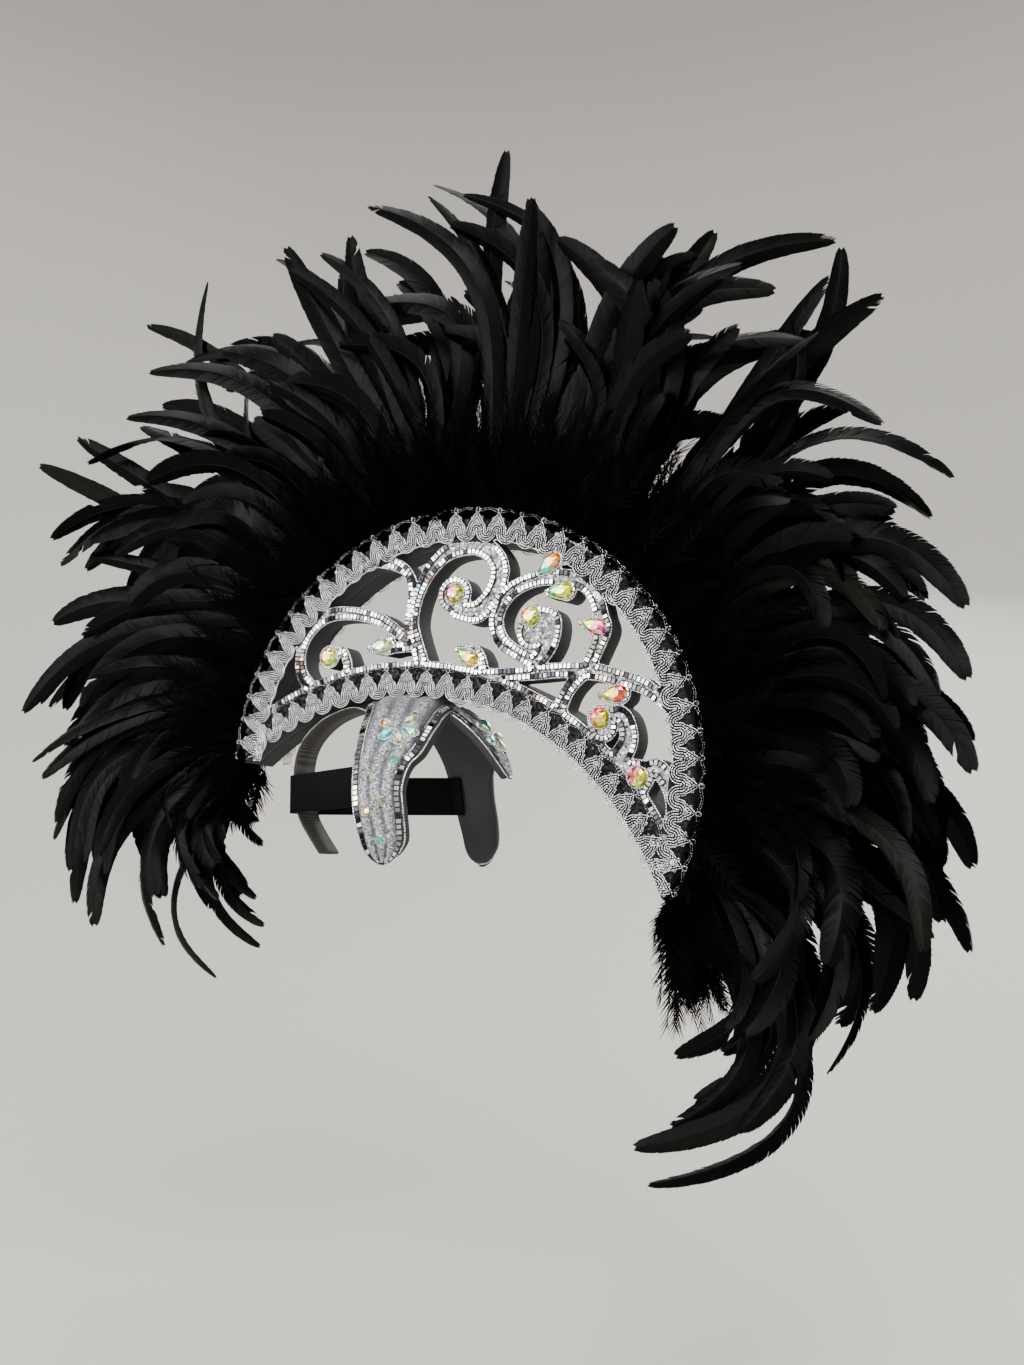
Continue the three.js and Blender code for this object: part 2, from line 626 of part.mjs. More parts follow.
// The thick of a sector's tail feathers, on one side of the middle plane, ending in locks.
function fanThick(from, to, sign) {
  const slack = fit / crestRadius / degree;
  const boaTop = 1 + boaLength / crestRadius;
  const rings = Array.from({ length: fanLocks + 1 }, (_, i) => {
    const angle = from + slack + ((to - from - 2 * slack) * i) / fanLocks;
    const reach = 1 + (flow(angle, 2) - 1) * (i % 2 === 0 ? lockDepth : 1);
    const seat = 1 + boaBulge * (boaTop - 1);
    const outer = [[seat, thickDepth], [(boaTop + reach) / 2, thickDepth], [reach, featherThick]];
    return [...outer.map(([r]) => [r, fit]), ...outer.reverse()].map(([r, y]) => {
      const free = Math.max(0, r - boaTop) / (fanReach - boaTop);
      const swept = angle + flow(angle, 1) * free ** fanSweep;
      const [p] = arc(0, 0, r * crestRadius, swept, swept, 1);
      return new THREE.Vector3(p.x, sign * y, p.y);
    });
  });
  return loft(rings);
}

// One tail feather: a bowed blade with a ridge along its shaft.
function feather([from, to, reach, bow, side, wide], sign, twist) {
  const root = arc(0, 0, crestRadius + boaLength * quillDepth, from, from, 1)[0];
  const tip = arc(0, 0, crestRadius * reach, to, to, 1)[0];
  const chord = tip.clone().sub(root);
  const ahead = new THREE.Vector2(chord.y, -chord.x);
  const bend = root.clone().add(tip).multiplyScalar(0.5).addScaledVector(ahead, 2 * bow);
  const line = new THREE.QuadraticBezierCurve(root, bend, tip);
  const spread = side * (fanHalfWidth - quillSide);
  const rings = vane.map(([t, breadth]) => {
    const at = line.getPoint(t);
    const way = line.getTangent(t);
    const half = (breadth * wide * featherWidth) / 2;
    const ridge = featherThick / 2;
    const y = sign * (quillSide + spread * t ** fanCurve);
    const across = new THREE.Vector3(-way.y * Math.cos(twist), Math.sin(twist), way.x * Math.cos(twist));
    const along = new THREE.Vector3(way.x, 0, way.y);
    const lift = new THREE.Vector3().crossVectors(along, across).multiplyScalar(ridge);
    const centre = new THREE.Vector3(at.x, y, at.y);
    const edge = across.multiplyScalar(half);
    return [
      centre.clone().add(edge), centre.clone().add(lift), centre.clone().sub(edge), centre.clone().sub(lift),
    ];
  });
  return loft(rings);
}

// The fan in sectors, set in turn to the near and the far side of the middle plane.
function fanSector(index) {
  const span = (rimShape.front - rimShape.back) / fanSectors;
  const from = rimShape.back + index * span;
  const to = from + span;
  const sign = index % 2 === 0 ? -1 : 1;
  let tail = fanThick(from, to, sign);
  feathers.forEach((row, i) => {
    const sector = Math.min(fanSectors - 1, Math.max(0, Math.floor((row[0] - rimShape.back) / span)));
    if (sector === index) tail = tail.add(feather(row, sign, (i % 3 - 1) * featherTwist * degree));
  });
  const beside = boaSector(from - span, from, fit).add(boaSector(to, to + span, fit));
  return boaSector(from, to, 0).add(tail.subtract(beside));
}

// The crescent stands on the cap: the top of its saddle arc lies over the seat.
const lean = crestLean * degree;
const seatZ = capPoint(-seatBack, 0, leafWall + leafPadding).z - seatPress;
const crest = new THREE.Group();
crest.rotation.y = lean;
crest.position.set(
  -seatBack - saddleShift * Math.cos(lean) + saddleDrop * Math.sin(lean),
  0,
  seatZ - saddleRadius + saddleShift * Math.sin(lean) + saddleDrop * Math.cos(lean),
);
crest.updateMatrixWorld(true);

const boardFace = -boardDepth - fit / 2 - fit;
const ringFace = ringDepth + fit / 2 + fit;
crest.add(named('crest_board', crestBoard(), blackFoam));
crest.add(named('crest_ring', crestRing(), blackFoam));
const outerLaceRadius = crestRadius + laceOver - laceWidth;
const innerLaceRadius = saddleRadius - laceUnder;
const outerLace = (face, side) => {
  return lace(0, 0, outerLaceRadius, rimShape.back + 1, rimShape.front - 1, face, side);
};
const innerLace = (face, side) => {
  const [front, back] = rimShape.ends;
  const whole = lace(saddleShift, -saddleDrop, innerLaceRadius, back, front, face, side);
  const inside = arc(0, 0, outerLaceRadius - fit, -180, 180, rimSteps).slice(1);
  return whole.intersect(plate(inside, face - 2 * laceThick, face + 2 * laceThick));
};
const onBoard = (x, z, turn) => {
  const place = new THREE.Matrix4().makeTranslation(x * percent, boardFace, z * percent);
  const upright = new THREE.Matrix4().makeRotationX(Math.PI / 2);
  return place.multiply(upright).multiply(new THREE.Matrix4().makeRotationZ(turn * degree));
};
let nearOuterLace = outerLace(boardFace, -1);
let nearInnerLace = innerLace(boardFace, -1);
const roundStyle = roundOutline(roundStone, crestSides);
const dropStyle = dropOutline(dropLength, dropWidth, crestSides);
const crestStones = [
  ...roundStones.map(([name, x, z]) => ({ name, outline: roundStyle, place: onBoard(x, z, 0) })),
  ...dropStones.map(([name, x, z, tip]) => ({ name, outline: dropStyle, place: onBoard(x, z, tip) })),
];
for (const { name, outline, place } of crestStones) {
  crest.add(named(name, moved(cutStone(outline, stoneHeight, girdleShare), place), crystal));
  const space = moved(block(grown(outline, fit), -fit, stoneHeight), place);
  nearOuterLace = nearOuterLace.subtract(space);
  nearInnerLace = nearInnerLace.subtract(space);
}
crest.add(named('outer_lace_near', nearOuterLace, silverLace));
crest.add(named('outer_lace_far', outerLace(ringFace, 1), silverLace));
crest.add(named('inner_lace_near', nearInnerLace, silverLace));
crest.add(named('inner_lace_far', innerLace(ringFace, 1), silverLace));
for (let i = 0; i < fanSectors; i += 1) {
  crest.add(named(`feather_fan_${i + 1}`, fanSector(i), blackFeather));
}

// Room for the crescent and its lace in the padding that they press into.
function crestRoom() {
  const sector = (radius) => [
    ...arc(saddleShift, -saddleDrop, radius - fit, -roomTurn, roomTurn, rimSteps),
    ...arc(saddleShift, -saddleDrop, radius + saddleWidth, roomTurn, -roomTurn, rimSteps),
  ];
  const boards = plate(sector(saddleRadius), boardFace, ringFace);
  const trims = plate(sector(innerLaceRadius), boardFace - laceThick - fit, ringFace + laceThick + fit);
  const between = plate(sector(innerLaceRadius - fit), boardFace + fit, ringFace - fit);
  return moved(boards.add(trims.subtract(between)), crest.matrixWorld);
}

const room = crestRoom();
const cap = new THREE.Group();
for (const [side, prefix] of [[-1, 'right_leaf'], [1, 'left_leaf']]) {
  let leaf = sideLeaf(side).subtract(room);
  for (const { name, stone, pocket } of leafStones(side, prefix)) {
    leaf = leaf.subtract(pocket);
    cap.add(named(name, stone, crystal));
  }
  cap.add(named(prefix, leaf, silverCloth));
}
let lobe = frontLobe().subtract(room);
const lobeTop = (along, y) => lobePoint(along, y, leafWall + leafPadding);
const lobeFrame = padFrame(lobeTop(lobeFlower, 0), lobeTop(lobeFlower + 0.02, 0), lobeTop(lobeFlower, 1));
for (const { name, stone, pocket } of flower(lobeFrame, lobePetals, 'front_lobe')) {
  lobe = lobe.subtract(pocket);
  cap.add(named(name, stone, crystal));
}
cap.add(named('front_lobe', lobe, silverCloth));
cap.add(named('rear_hoop', rearHoop(), greyBand));
cap.add(named('rear_strap', rearStrap(), blackElastic));

const headdress = new THREE.Group();
headdress.add(crest, cap);

export default headdress;
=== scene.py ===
import math

import bmesh
import bpy
import numpy as np
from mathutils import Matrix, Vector


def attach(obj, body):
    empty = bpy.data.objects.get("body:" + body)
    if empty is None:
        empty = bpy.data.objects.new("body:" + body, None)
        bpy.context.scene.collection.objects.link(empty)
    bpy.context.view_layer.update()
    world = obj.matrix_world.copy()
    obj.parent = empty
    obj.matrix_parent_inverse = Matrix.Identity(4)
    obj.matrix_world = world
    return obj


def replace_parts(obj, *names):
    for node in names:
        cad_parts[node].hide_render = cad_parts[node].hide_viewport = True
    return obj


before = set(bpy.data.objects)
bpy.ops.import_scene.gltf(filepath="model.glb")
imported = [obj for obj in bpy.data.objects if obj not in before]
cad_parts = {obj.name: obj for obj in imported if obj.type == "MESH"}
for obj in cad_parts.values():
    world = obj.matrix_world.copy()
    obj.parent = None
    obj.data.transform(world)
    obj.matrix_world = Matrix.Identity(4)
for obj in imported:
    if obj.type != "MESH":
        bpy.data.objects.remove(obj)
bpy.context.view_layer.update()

MM = 0.001

# Sizes of the crescent, which the construction has too. Depth is measured from its middle plane
# towards the wearer's right.
CREST_RADIUS = 222
RIM_WIDTH = 18
SADDLE_RADIUS = 264
SADDLE_WIDTH = 28
SADDLE_DROP = 201
SADDLE_SHIFT = 6
CREST_LEAN = math.radians(18.4)
CREST_PLACE = (7.75, -51.04)
BOARD_FACE = 22.15
BOARD_BACK = 0.15
PERCENT = CREST_RADIUS / 100
BOARD_CHAMFER = 0.5
BACK_END = -104.8
FRONT_END = 101.2
SADDLE_BACK_END = -56.7
SADDLE_FRONT_END = 53.3

# Sizes of the head hollow and the cap.
HEAD_LENGTH = 99
HEAD_WIDTH = 87
HEAD_HEIGHT = 109.5
HEAD_BACK = 45
HEAD_CENTRE = -97.53
HEAD_MIDDLE = np.array([-HEAD_BACK, 0, HEAD_CENTRE])
LEAF_WALL = 6.5
LEAF_PADDING = 3.5
LEAF_WIDTH = 80
LEAF_DROP = math.radians(111)
LOBE_WIDTH = 46
LOBE_TURN = math.radians(69)
LOBE_ROOT = 7.5

# Scrolls of the near board: along, up and width, in hundredths of the crescent's radius, measured
# from the centre of its outer arc.
SCROLLS = {
    "back_loop": [
        (-36.9, 44.6, 4.1), (-45.5, 47.5, 5.0), (-52.7, 48.9, 5.2), (-64.9, 48.2, 5.4), (-75.2, 45.0, 5.9),
        (-81.1, 39.2, 5.4), (-84.2, 31.5, 5.0), (-83.8, 23.9, 5.0), (-80.6, 18.0, 5.4), (-74.8, 14.4, 5.4),
        (-69.4, 14.4, 4.5),
    ],
    "back_curl": [
        (-59.0, 16.0, 4.5), (-59.5, 25.7, 4.1), (-61.7, 29.7, 4.1), (-64.9, 32.0, 4.1), (-69.8, 28.4, 3.6),
    ],
    "back_branch": [
        (-60.4, 71.2, 4.5), (-51.8, 72.1, 5.0), (-45.5, 70.7, 4.5), (-41.0, 66.7, 4.1), (-39.2, 60.8, 3.6),
        (-38.3, 55.0, 3.6), (-36.5, 48.2, 4.1), (-34.2, 42.8, 4.1),
    ],
    "crown_spiral": [
        (-27.0, 38.0, 6.3), (-31.5, 44.6, 5.4), (-35.1, 51.4, 4.5), (-36.5, 59.5, 5.0), (-36.0, 67.1, 5.4),
        (-34.2, 73.9, 6.3), (-30.2, 80.6, 6.8), (-24.3, 85.1, 7.4), (-16.2, 87.8, 8.1), (-9.0, 86.0, 8.1),
        (-4.1, 81.5, 8.1), (-2.9, 75.2, 8.1), (-4.5, 68.5, 8.1), (-8.6, 62.2, 9.0), (-17.1, 60.8, 7.2),
    ],
    "front_loop": [
        (21.6, 49.5, 5.4), (13.1, 51.4, 5.4), (5.9, 54.1, 5.9), (1.4, 59.9, 6.3), (0.9, 66.2, 6.3),
        (2.7, 72.1, 6.8), (7.2, 77.0, 6.3), (14.0, 81.1, 6.3), (21.6, 83.3, 6.3), (28.8, 84.2, 6.3),
        (35.6, 82.4, 6.3), (40.5, 77.9, 6.3), (43.7, 73.0, 6.3), (45.9, 68.5, 7.2), (45.9, 61.7, 5.9),
        (45.0, 55.0, 5.9), (46.4, 52.3, 5.9),
    ],
    "front_curl": [
        (23.0, 50.0, 7.2), (25.2, 55.9, 8.1), (25.7, 61.7, 8.1), (23.9, 67.1, 7.7), (18.5, 68.0, 6.3),
    ],
    "long_arm": [
        (2.0, 39.0, 5.4), (16.2, 43.2, 5.4), (25.2, 46.4, 5.9), (34.2, 49.5, 5.9), (46.4, 52.3, 6.3),
        (56.8, 52.7, 6.3), (68.0, 52.3, 5.9), (77.0, 49.1, 5.4), (83.0, 47.0, 5.4),
    ],
    "lower_arm": [
        (42.3, 50.0, 6.3), (39.6, 43.7, 5.4), (38.3, 37.8, 5.9), (38.3, 32.4, 6.3), (41.4, 25.0, 6.3),
    ],
    "lower_curl": [
        (64.8, 18.0, 9.9), (68.5, 29.3, 8.1), (67.1, 35.6, 7.2), (63.1, 39.6, 6.8), (57.7, 38.3, 6.3),
    ],
    "tip_arm": [
        (94.5, 4.0, 3.6), (91.0, 15.3, 4.5), (87.4, 21.6, 6.3), (82.0, 24.8, 7.2), (77.0, 21.2, 6.3),
    ],
    "back_twig": [(-31.0, 43.0, 4.5), (-41.4, 39.2, 4.5)],
    "middle_twig": [(-7.7, 48.2, 3.6), (-3.2, 47.3, 4.1), (0.5, 43.7, 4.1), (2.7, 38.5, 4.1)],
    "tip_link": [(70.0, 22.0, 7.0), (76.1, 19.8, 8.0), (79.0, 9.0, 6.0)],
}
EYES = [
    (-69.8, 28.4, 4.8), (-20.3, 66.6, 7.4), (15.3, 66.2, 5.2), (18.0, 60.5, 7.0), (55.0, 36.5, 5.2),
    (57.5, 33.5, 5.6), (76.1, 19.8, 6.4),
]

# Stones of the crescent: node, along, up, the way a drop's tip points, and the two colours of its coat.
CREST_STONES = [
    ("crest_round_1", -69.8, 28.4, None, "#e58a4a", "#a9cf52"),
    ("crest_round_2", -20.3, 67.1, None, "#d8508c", "#a6c832"),
    ("crest_round_3", 15.3, 66.2, None, "#e8774e", "#b8d646"),
    ("crest_round_4", 55.0, 36.5, None, "#e25a6a", "#b4cc48"),
    ("crest_round_5", 76.1, 19.8, None, "#dd4f76", "#c4d65a"),
    ("crest_drop_1", -46.8, 38.7, 205, "#d9d8a8", "#7cc9bd"),
    ("crest_drop_2", -6.8, 44.6, 160, "#e0a33c", "#57c98a"),
    ("crest_drop_3", 16.7, 87.0, 240, "#e08a4c", "#2fd0c0"),
    ("crest_drop_4", 24.3, 78.4, 200, "#c9cf5a", "#62cf94"),
    ("crest_drop_5", 41.9, 68.9, 177, "#d94c9a", "#a9d83a"),
    ("crest_drop_6", 57.7, 46.4, 200, "#e06a7c", "#b5d84a"),
]

# The foam left under each drop: how far from its middle the two ends lie, and the half widths there.
DROP_PAD = ((-5.5, 9.6), (12.5, 3.2))

# Sizes of the cut stones: round ones and drops of the crescent, petals and small rounds of the cap.
ROUND_SIZE = 18
DROP_SIZE = (26, 15)
STONE_HEIGHT = 6
PETAL_SIZE = (17, 9.5)
PETAL_AWAY = 11.2
SMALL_ROUND = 9
SMALL_HEIGHT = 3.2
STONE_SINK = 1.2

# How a stone's facets are coloured: how sharply its two coats part, how far they stray by chance, how much
# light or shade is painted on a facet, and the share of facets that get a painted highlight flash and how
# bright.
COAT_SPLIT = 2.4
COAT_STRAY = 0.28
PAINTED_FACET_LIGHT = (0.35, 1.5)
PAINTED_FLASH_SHARE = 0.16
PAINTED_FLASH = 0.6

# Outline of a side leaf: way down from the crown as a share of its drop, and its back and front
# edge as shares of its width. Then the lobe's: way along and width as shares.
LEAF_OUTLINE = [
    (0.00, -0.98, 0.08), (0.14, -0.93, 0.09), (0.23, -0.84, 0.10), (0.32, -0.75, 0.11), (0.48, -0.67, 0.08),
    (0.57, -0.64, -0.01), (0.67, -0.60, -0.04), (0.76, -0.56, -0.01), (0.84, -0.50, 0.01),
    (0.89, -0.46, 0.005), (0.925, -0.41, -0.04), (0.95, -0.345, -0.10), (0.962, -0.28, -0.165),
]
LOBE_OUTLINE = [
    (0.00, 1.00), (0.20, 0.92), (0.40, 0.82), (0.60, 0.68), (0.80, 0.48), (0.94, 0.26), (1.00, 0.12),
]
LEAF_FLOWER = (-0.21, 0.41)
LEAF_PETALS = [168, 232, 292, 350, 60]
LEAF_ROUNDS = [(-0.40, 0.62), (-0.15, 0.565), (-0.21, 0.73), (-0.36, 0.77), (-0.21, 0.875)]
LOBE_PETALS = [90, 162, 234, 306, 18]

# The two colours of each petal's coat, and how much of the quilting a flower or a round flattens.
PETAL_COATS = [
    ("#d98a4a", "#8ea79c"), ("#25c4d4", "#93a08c"), ("#a3a784", "#9ab59a"), ("#8fb08e", "#4fc8c0"),
    ("#b4b890", "#7f9a8c"),
]
FLOWER_REACH = 19
ROUND_REACH = 6

# How a pad is quilted: points across it, sewn channels, the share of its width in each hem, how far
# the very edge drops, and the two steps of its raw foam edge. Then how far each side leaf stands off
# the middle plane.
PAD_ACROSS = 61
CHANNELS = 3
HEM_SHARE = 0.14
EDGE_DROP = 1.2
EDGE_STEPS = (3.6, 1.6)
PAD_GAP = 0.15

# The trim of a pad: the inset and pitch of its tiles, and its two cords as inset and height.
PAD_TILE_INSET = 4.2
PAD_TILE_PITCH = 4.6
PAD_CORDS = ((0.4, LEAF_WALL - 0.4), (7.6, LEAF_WALL + 0.5))
PAD_CORD_STEP = 2.5

# The hoop's run from the cap round behind the head, as shares of its reach and its drop, and the
# elastic that goes round it.
HOOP_RUN = [
    (0.00, 0.035), (0.24, -0.02), (0.55, 0.03), (0.78, 0.125), (0.93, 0.25), (0.985, 0.42), (0.96, 0.60),
    (0.905, 0.74), (0.79, 0.86), (0.63, 1.00),
]
HOOP_START = -78.7
HOOP_REACH = 82
HOOP_DROP = 125
HOOP_WIDTH = 30
HOOP_THICK = 2.5
STRAP_HEIGHT = 35
STRAP_THICK = 1.6
STRAP_LEVEL = 49

# How far ahead of a leaf's back edge the elastic is tucked in, and how far under the leaf it lies.
STRAP_TUCK = (14, 9, 4, -2)
STRAP_UNDER = 0.9

# Tail feathers: root and tip as degrees from the top of the arc, ahead positive; reach of the tip in
# crescent radii; bow as a share of the length, ahead positive; side and breadth as shares.
FEATHERS = [
    (-103, -126, 1.16, 0.22, 0.30, 0.9), (-101, -147, 1.30, 0.30, 0.55, 0.7),
    (-99, -135, 1.55, 0.30, 0.20, 0.9), (-97, -129, 1.72, 0.22, 0.75, 0.9),
    (-94, -124, 1.91, 0.22, 0.45, 1.0), (-90, -119, 2.00, 0.20, 0.15, 1.0),
    (-86, -115, 2.02, 0.17, 0.35, 1.0), (-80, -108, 2.12, 0.17, 0.70, 1.0),
    (-76, -103, 2.22, 0.16, 0.25, 1.0), (-72, -98, 2.52, 0.12, 0.35, 0.9),
    (-68, -94, 2.34, 0.20, 0.50, 1.0), (-65, -75, 2.92, 0.01, 0.15, 0.9),
    (-62, -84, 2.22, 0.22, 0.75, 1.0), (-57, -79, 2.25, 0.16, 0.70, 1.0),
    (-53, -48, 2.59, -0.17, 0.20, 0.8), (-50, -69, 2.23, 0.20, 0.85, 1.0),
    (-46, -63, 2.31, 0.11, 0.45, 1.0), (-42, -56, 2.68, 0.07, 0.12, 0.8),
    (-38, -57, 2.33, 0.14, 0.65, 1.0), (-34, -50, 2.20, 0.14, 0.80, 1.0),
    (-30, -52, 2.46, 0.15, 0.40, 0.9), (-28, -42, 2.61, 0.09, 0.12, 0.8),
    (-25, -37, 2.46, -0.02, 0.60, 1.0), (-22, -34, 2.17, 0.34, 0.85, 0.9),
    (-17, -32, 2.41, 0.15, 0.30, 0.9), (-12, -13, 2.53, -0.03, 0.15, 0.9),
    (-9, -25, 2.32, 0.20, 0.75, 0.9), (-4, -9, 2.24, 0.14, 0.40, 1.0), (0, -21, 2.48, 0.18, 0.10, 0.8),
    (4, 9, 2.20, -0.10, 0.60, 1.1), (7, 22, 2.41, -0.20, 0.25, 0.9), (12, 1, 2.23, 0.14, 0.70, 1.0),
    (15, 8, 2.33, -0.04, 0.30, 1.1), (18, 21, 2.17, -0.20, 0.85, 1.0), (22, 27, 2.37, -0.05, 0.15, 1.0),
    (27, 20, 2.47, 0.10, 0.45, 0.9), (30, 43, 2.13, -0.26, 0.65, 1.0), (34, 49, 2.02, -0.24, 0.35, 1.0),
    (39, 59, 2.03, -0.22, 0.70, 1.0), (44, 55, 1.90, -0.20, 0.12, 1.0), (48, 65, 1.98, -0.22, 0.50, 1.0),
    (53, 74, 1.99, -0.16, 0.80, 1.0), (58, 70, 1.92, -0.16, 0.25, 1.0), (63, 83, 1.93, -0.16, 0.60, 1.0),
    (69, 91, 1.99, -0.13, 0.30, 1.0), (75, 98, 1.86, -0.20, 0.75, 1.0), (80, 107, 1.80, -0.26, 0.45, 1.0),
    (85, 133, 1.68, -0.36, 0.15, 0.9), (90, 117, 1.72, -0.26, 0.75, 1.0),
    (94, 126, 1.61, -0.24, 0.40, 0.9), (99, 113, 1.25, -0.12, 0.20, 1.0),
]

# The fan: its sectors, the full width of a feather, and how far it spreads to each side. Then where a
# quill starts: beside the middle plane, outside the arc, and how much deeper in the boa.
FAN_SECTORS = 9
FEATHER_WIDTH = 24
FAN_HALF_WIDTH = 85
QUILL_SIDE = 7.5
QUILL_OUT = 36
QUILL_SUNK = 16

# The loose plumes: the step of their barbs, how far to each side they root, and their length in the
# boa and under the tail feathers.
PLUME_STEP = 3.4
PLUME_ROOTS = 15
BOA_LENGTH = 50
PLUME_LENGTH = 128

# How a tail feather widens and narrows from root to tip, as shares of its length and half width.
VANE = [
    (0.00, 0.35), (0.12, 0.68), (0.30, 0.94), (0.55, 1.00), (0.72, 0.97), (0.84, 0.84), (0.92, 0.64),
    (0.97, 0.42), (1.00, 0.18),
]

# How late along its length a feather bends, and the height of that curve. Then how many shorter
# feathers fill in, the spacing of the barbs, and the reach at the boa's edge that a filler starts from.
LATE_BEND = 1.7
LATE_PEAK = (LATE_BEND / (LATE_BEND + 1)) ** LATE_BEND / (LATE_BEND + 1)
FILLERS = 310
BARB_PITCH = 4.6
FILLER_REACH = 1.17

# How the near board is worked out: the step of its grid and the fillet where two strokes meet. Then
# its tiles and edge cords: how far in from the edge, how far apart, and how far off the face.
FIELD_STEP = 1.0
FILLET = 3.0
TILE_INSET = 3.1
TILE_PITCH = 3.9
TILE_LIFT = 0.5
CORD_INSET = 0.4
CORD_STEP = 2.2
STONE_LIFT = 0.3

# How far in from each arc the lace covers the glitter cloth, which is painted dark there as the shade under
# it.
OUTER_COVER = 21
SADDLE_COVER = 23

# The lace: its width, repeat and cord. A bundle of cords bends round the scallops at the foot and
# over the crowns between. Over each crown stands a peak of nested arches, as half width and drop,
# with picots, as place across, level and reach. Loose threads link them, as level and rise.
LACE_WIDTH = 30
LACE_PITCH = 20.7
LACE_CORD = 1.1
FOOT_BEND = 6.4
CROWN_BEND = LACE_PITCH / 2 - FOOT_BEND
BUNDLE = [-3.3, -1.1, 1.1, 3.3]
FOOT_LEVEL = 9.3
CROWN_LEVEL = 10.8
PEAK_FOOT = 16.0
PEAK_LEVEL = 27.0
PEAK_ARCHES = [(7.0, 0.0), (4.7, 3.4), (2.4, 6.6)]
PICOTS = [(0.0, PEAK_LEVEL + 2.2, 2.6), (-4.6, 21.4, 1.4), (4.6, 21.4, 1.4)]
LOOSE_THREADS = [(27.0, 3.0), (29.5, 2.0)]

# Where the laces are sewn: on the outer arc and on the saddle arc, as the middle of the arc, the
# radius of the lace's foot, its two ends in degrees, and how much its height is drawn in.
LACES = {
    "outer": ((0, 0), CREST_RADIUS + 10 - LACE_WIDTH, (BACK_END + 1, FRONT_END - 1), 0.95),
    "inner": (
        (SADDLE_SHIFT, -SADDLE_DROP), SADDLE_RADIUS - 4, (SADDLE_BACK_END + 4, SADDLE_FRONT_END - 4), 0.88,
    ),
}
LACE_LIFT = 0.8


def crest(points):
    """Crescent places as along, up and depth in millimetres, turned to scene places in metres."""
    u, w, d = np.asarray(points, float).T
    x = u * math.cos(CREST_LEAN) + w * math.sin(CREST_LEAN) + CREST_PLACE[0]
    z = w * math.cos(CREST_LEAN) - u * math.sin(CREST_LEAN) + CREST_PLACE[1]
    return np.stack([x, -d, z], axis=1) * MM


def crest_way(ways):
    """Directions of the crescent's frame, turned to scene directions."""
    return (crest(ways) - crest([(0, 0, 0)])) / MM


def on_arc(radius, degrees, centre=(0, 0)):
    """Along and up on an arc, its angles in degrees from the top, ahead positive."""
    turn = np.radians(degrees)
    return np.stack([centre[0] + radius * np.sin(turn), centre[1] + radius * np.cos(turn)], axis=-1)


def smooth(rows, steps):
    """A smooth run through the rows of a table, with some steps from each row to the next."""
    rows = np.array(rows, float)
    ends = np.vstack([2 * rows[0] - rows[1], rows, 2 * rows[-1] - rows[-2]])
    t = np.linspace(0, 1, steps, endpoint=False)[:, None]
    run = []
    for a, b, c, d in zip(ends, ends[1:], ends[2:], ends[3:]):
        cubic = (3 * (b - c) + d - a) * t**3 + (2 * a - 5 * b + 4 * c - d) * t**2 + (c - a) * t + 2 * b
        run.append(cubic / 2)
    return np.vstack([*run, rows[-1:]])


def unit(ways):
    """Directions of length one."""
    return ways / np.linalg.norm(ways, axis=-1, keepdims=True)


def add(tree, kind, inputs=(), **settings):
    """Adds a node with its settings, and sets or links its inputs."""
    made = tree.nodes.new(kind)
    for name, value in settings.items():
        setattr(made, name, value)
    for socket, value in dict(inputs).items():
        if isinstance(value, bpy.types.Node):
            value = next(s for s in value.outputs if s.enabled)
        if isinstance(value, bpy.types.NodeSocket):
            tree.links.new(value, made.inputs[socket])
        else:
            made.inputs[socket].default_value = value
    return made


def linear(code):
    """An sRGB hex colour as linear RGBA."""
    parts = [int(code[i:i + 2], 16) / 255 for i in (1, 3, 5)]
    return (*[c / 12.92 if c <= 0.04045 else ((c + 0.055) / 1.055) ** 2.4 for c in parts], 1.0)


def stand(name, data):
    """A new object, stood in the scene."""
    made = bpy.data.objects.new(name, data)
    bpy.context.scene.collection.objects.link(made)
    return made


def surface(name, **values):
    """A new material, its tree and its shader, with the values that are the same all over."""
    made = bpy.data.materials.new(name)
    made.use_nodes = True
    shader = made.node_tree.nodes["Principled BSDF"]
    for socket, value in values.items():
        value = linear(value) if isinstance(value, str) else value
        shader.inputs[socket.replace("_", " ")].default_value = value
    return made, made.node_tree, shader


def maths(tree, operation, *values, **settings):
    """One step of arithmetic on numbers."""
    return add(tree, "ShaderNodeMath", enumerate(values), operation=operation, **settings)


def stops(tree, factor, colours, interpolation="LINEAR"):
    """A run of colours spaced evenly, picked by a factor."""
    ramp = add(tree, "ShaderNodeValToRGB", {"Fac": factor})
    ramp.color_ramp.interpolation = interpolation
    marks = ramp.color_ramp.elements
    while len(marks) < len(colours):
        marks.new(0.5)
    steps = len(colours) if interpolation == "CONSTANT" else len(colours) - 1
    for i, code in enumerate(colours):
        marks[i].position = i / steps
        marks[i].color = linear(code)
    return ramp


def object_place(tree):
    """The place on the piece, in metres, which stays with it in every view."""
    return add(tree, "ShaderNodeTexCoord").outputs["Object"]


def carried(tree, name):
    """A value that the points or faces of a piece carry."""
    return add(tree, "ShaderNodeAttribute", attribute_name=name).outputs


def noise(tree, size, **inputs):
    """Soft noise with grains of a size in millimetres."""
    values = {"Vector": object_place(tree), "Scale": 1 / (size * MM), **inputs}
    return add(tree, "ShaderNodeTexNoise", values)


def faded(tree, share, one, other):
    """One run of colours going over into another."""
    values = {0: share, 6: one.outputs[0], 7: other.outputs[0]}
    return add(tree, "ShaderNodeMix", values, data_type="RGBA").outputs[2]


def paint(tree, shader, colour):
    """Gives the surface its colour."""
    tree.links.new(colour, shader.inputs["Base Color"])


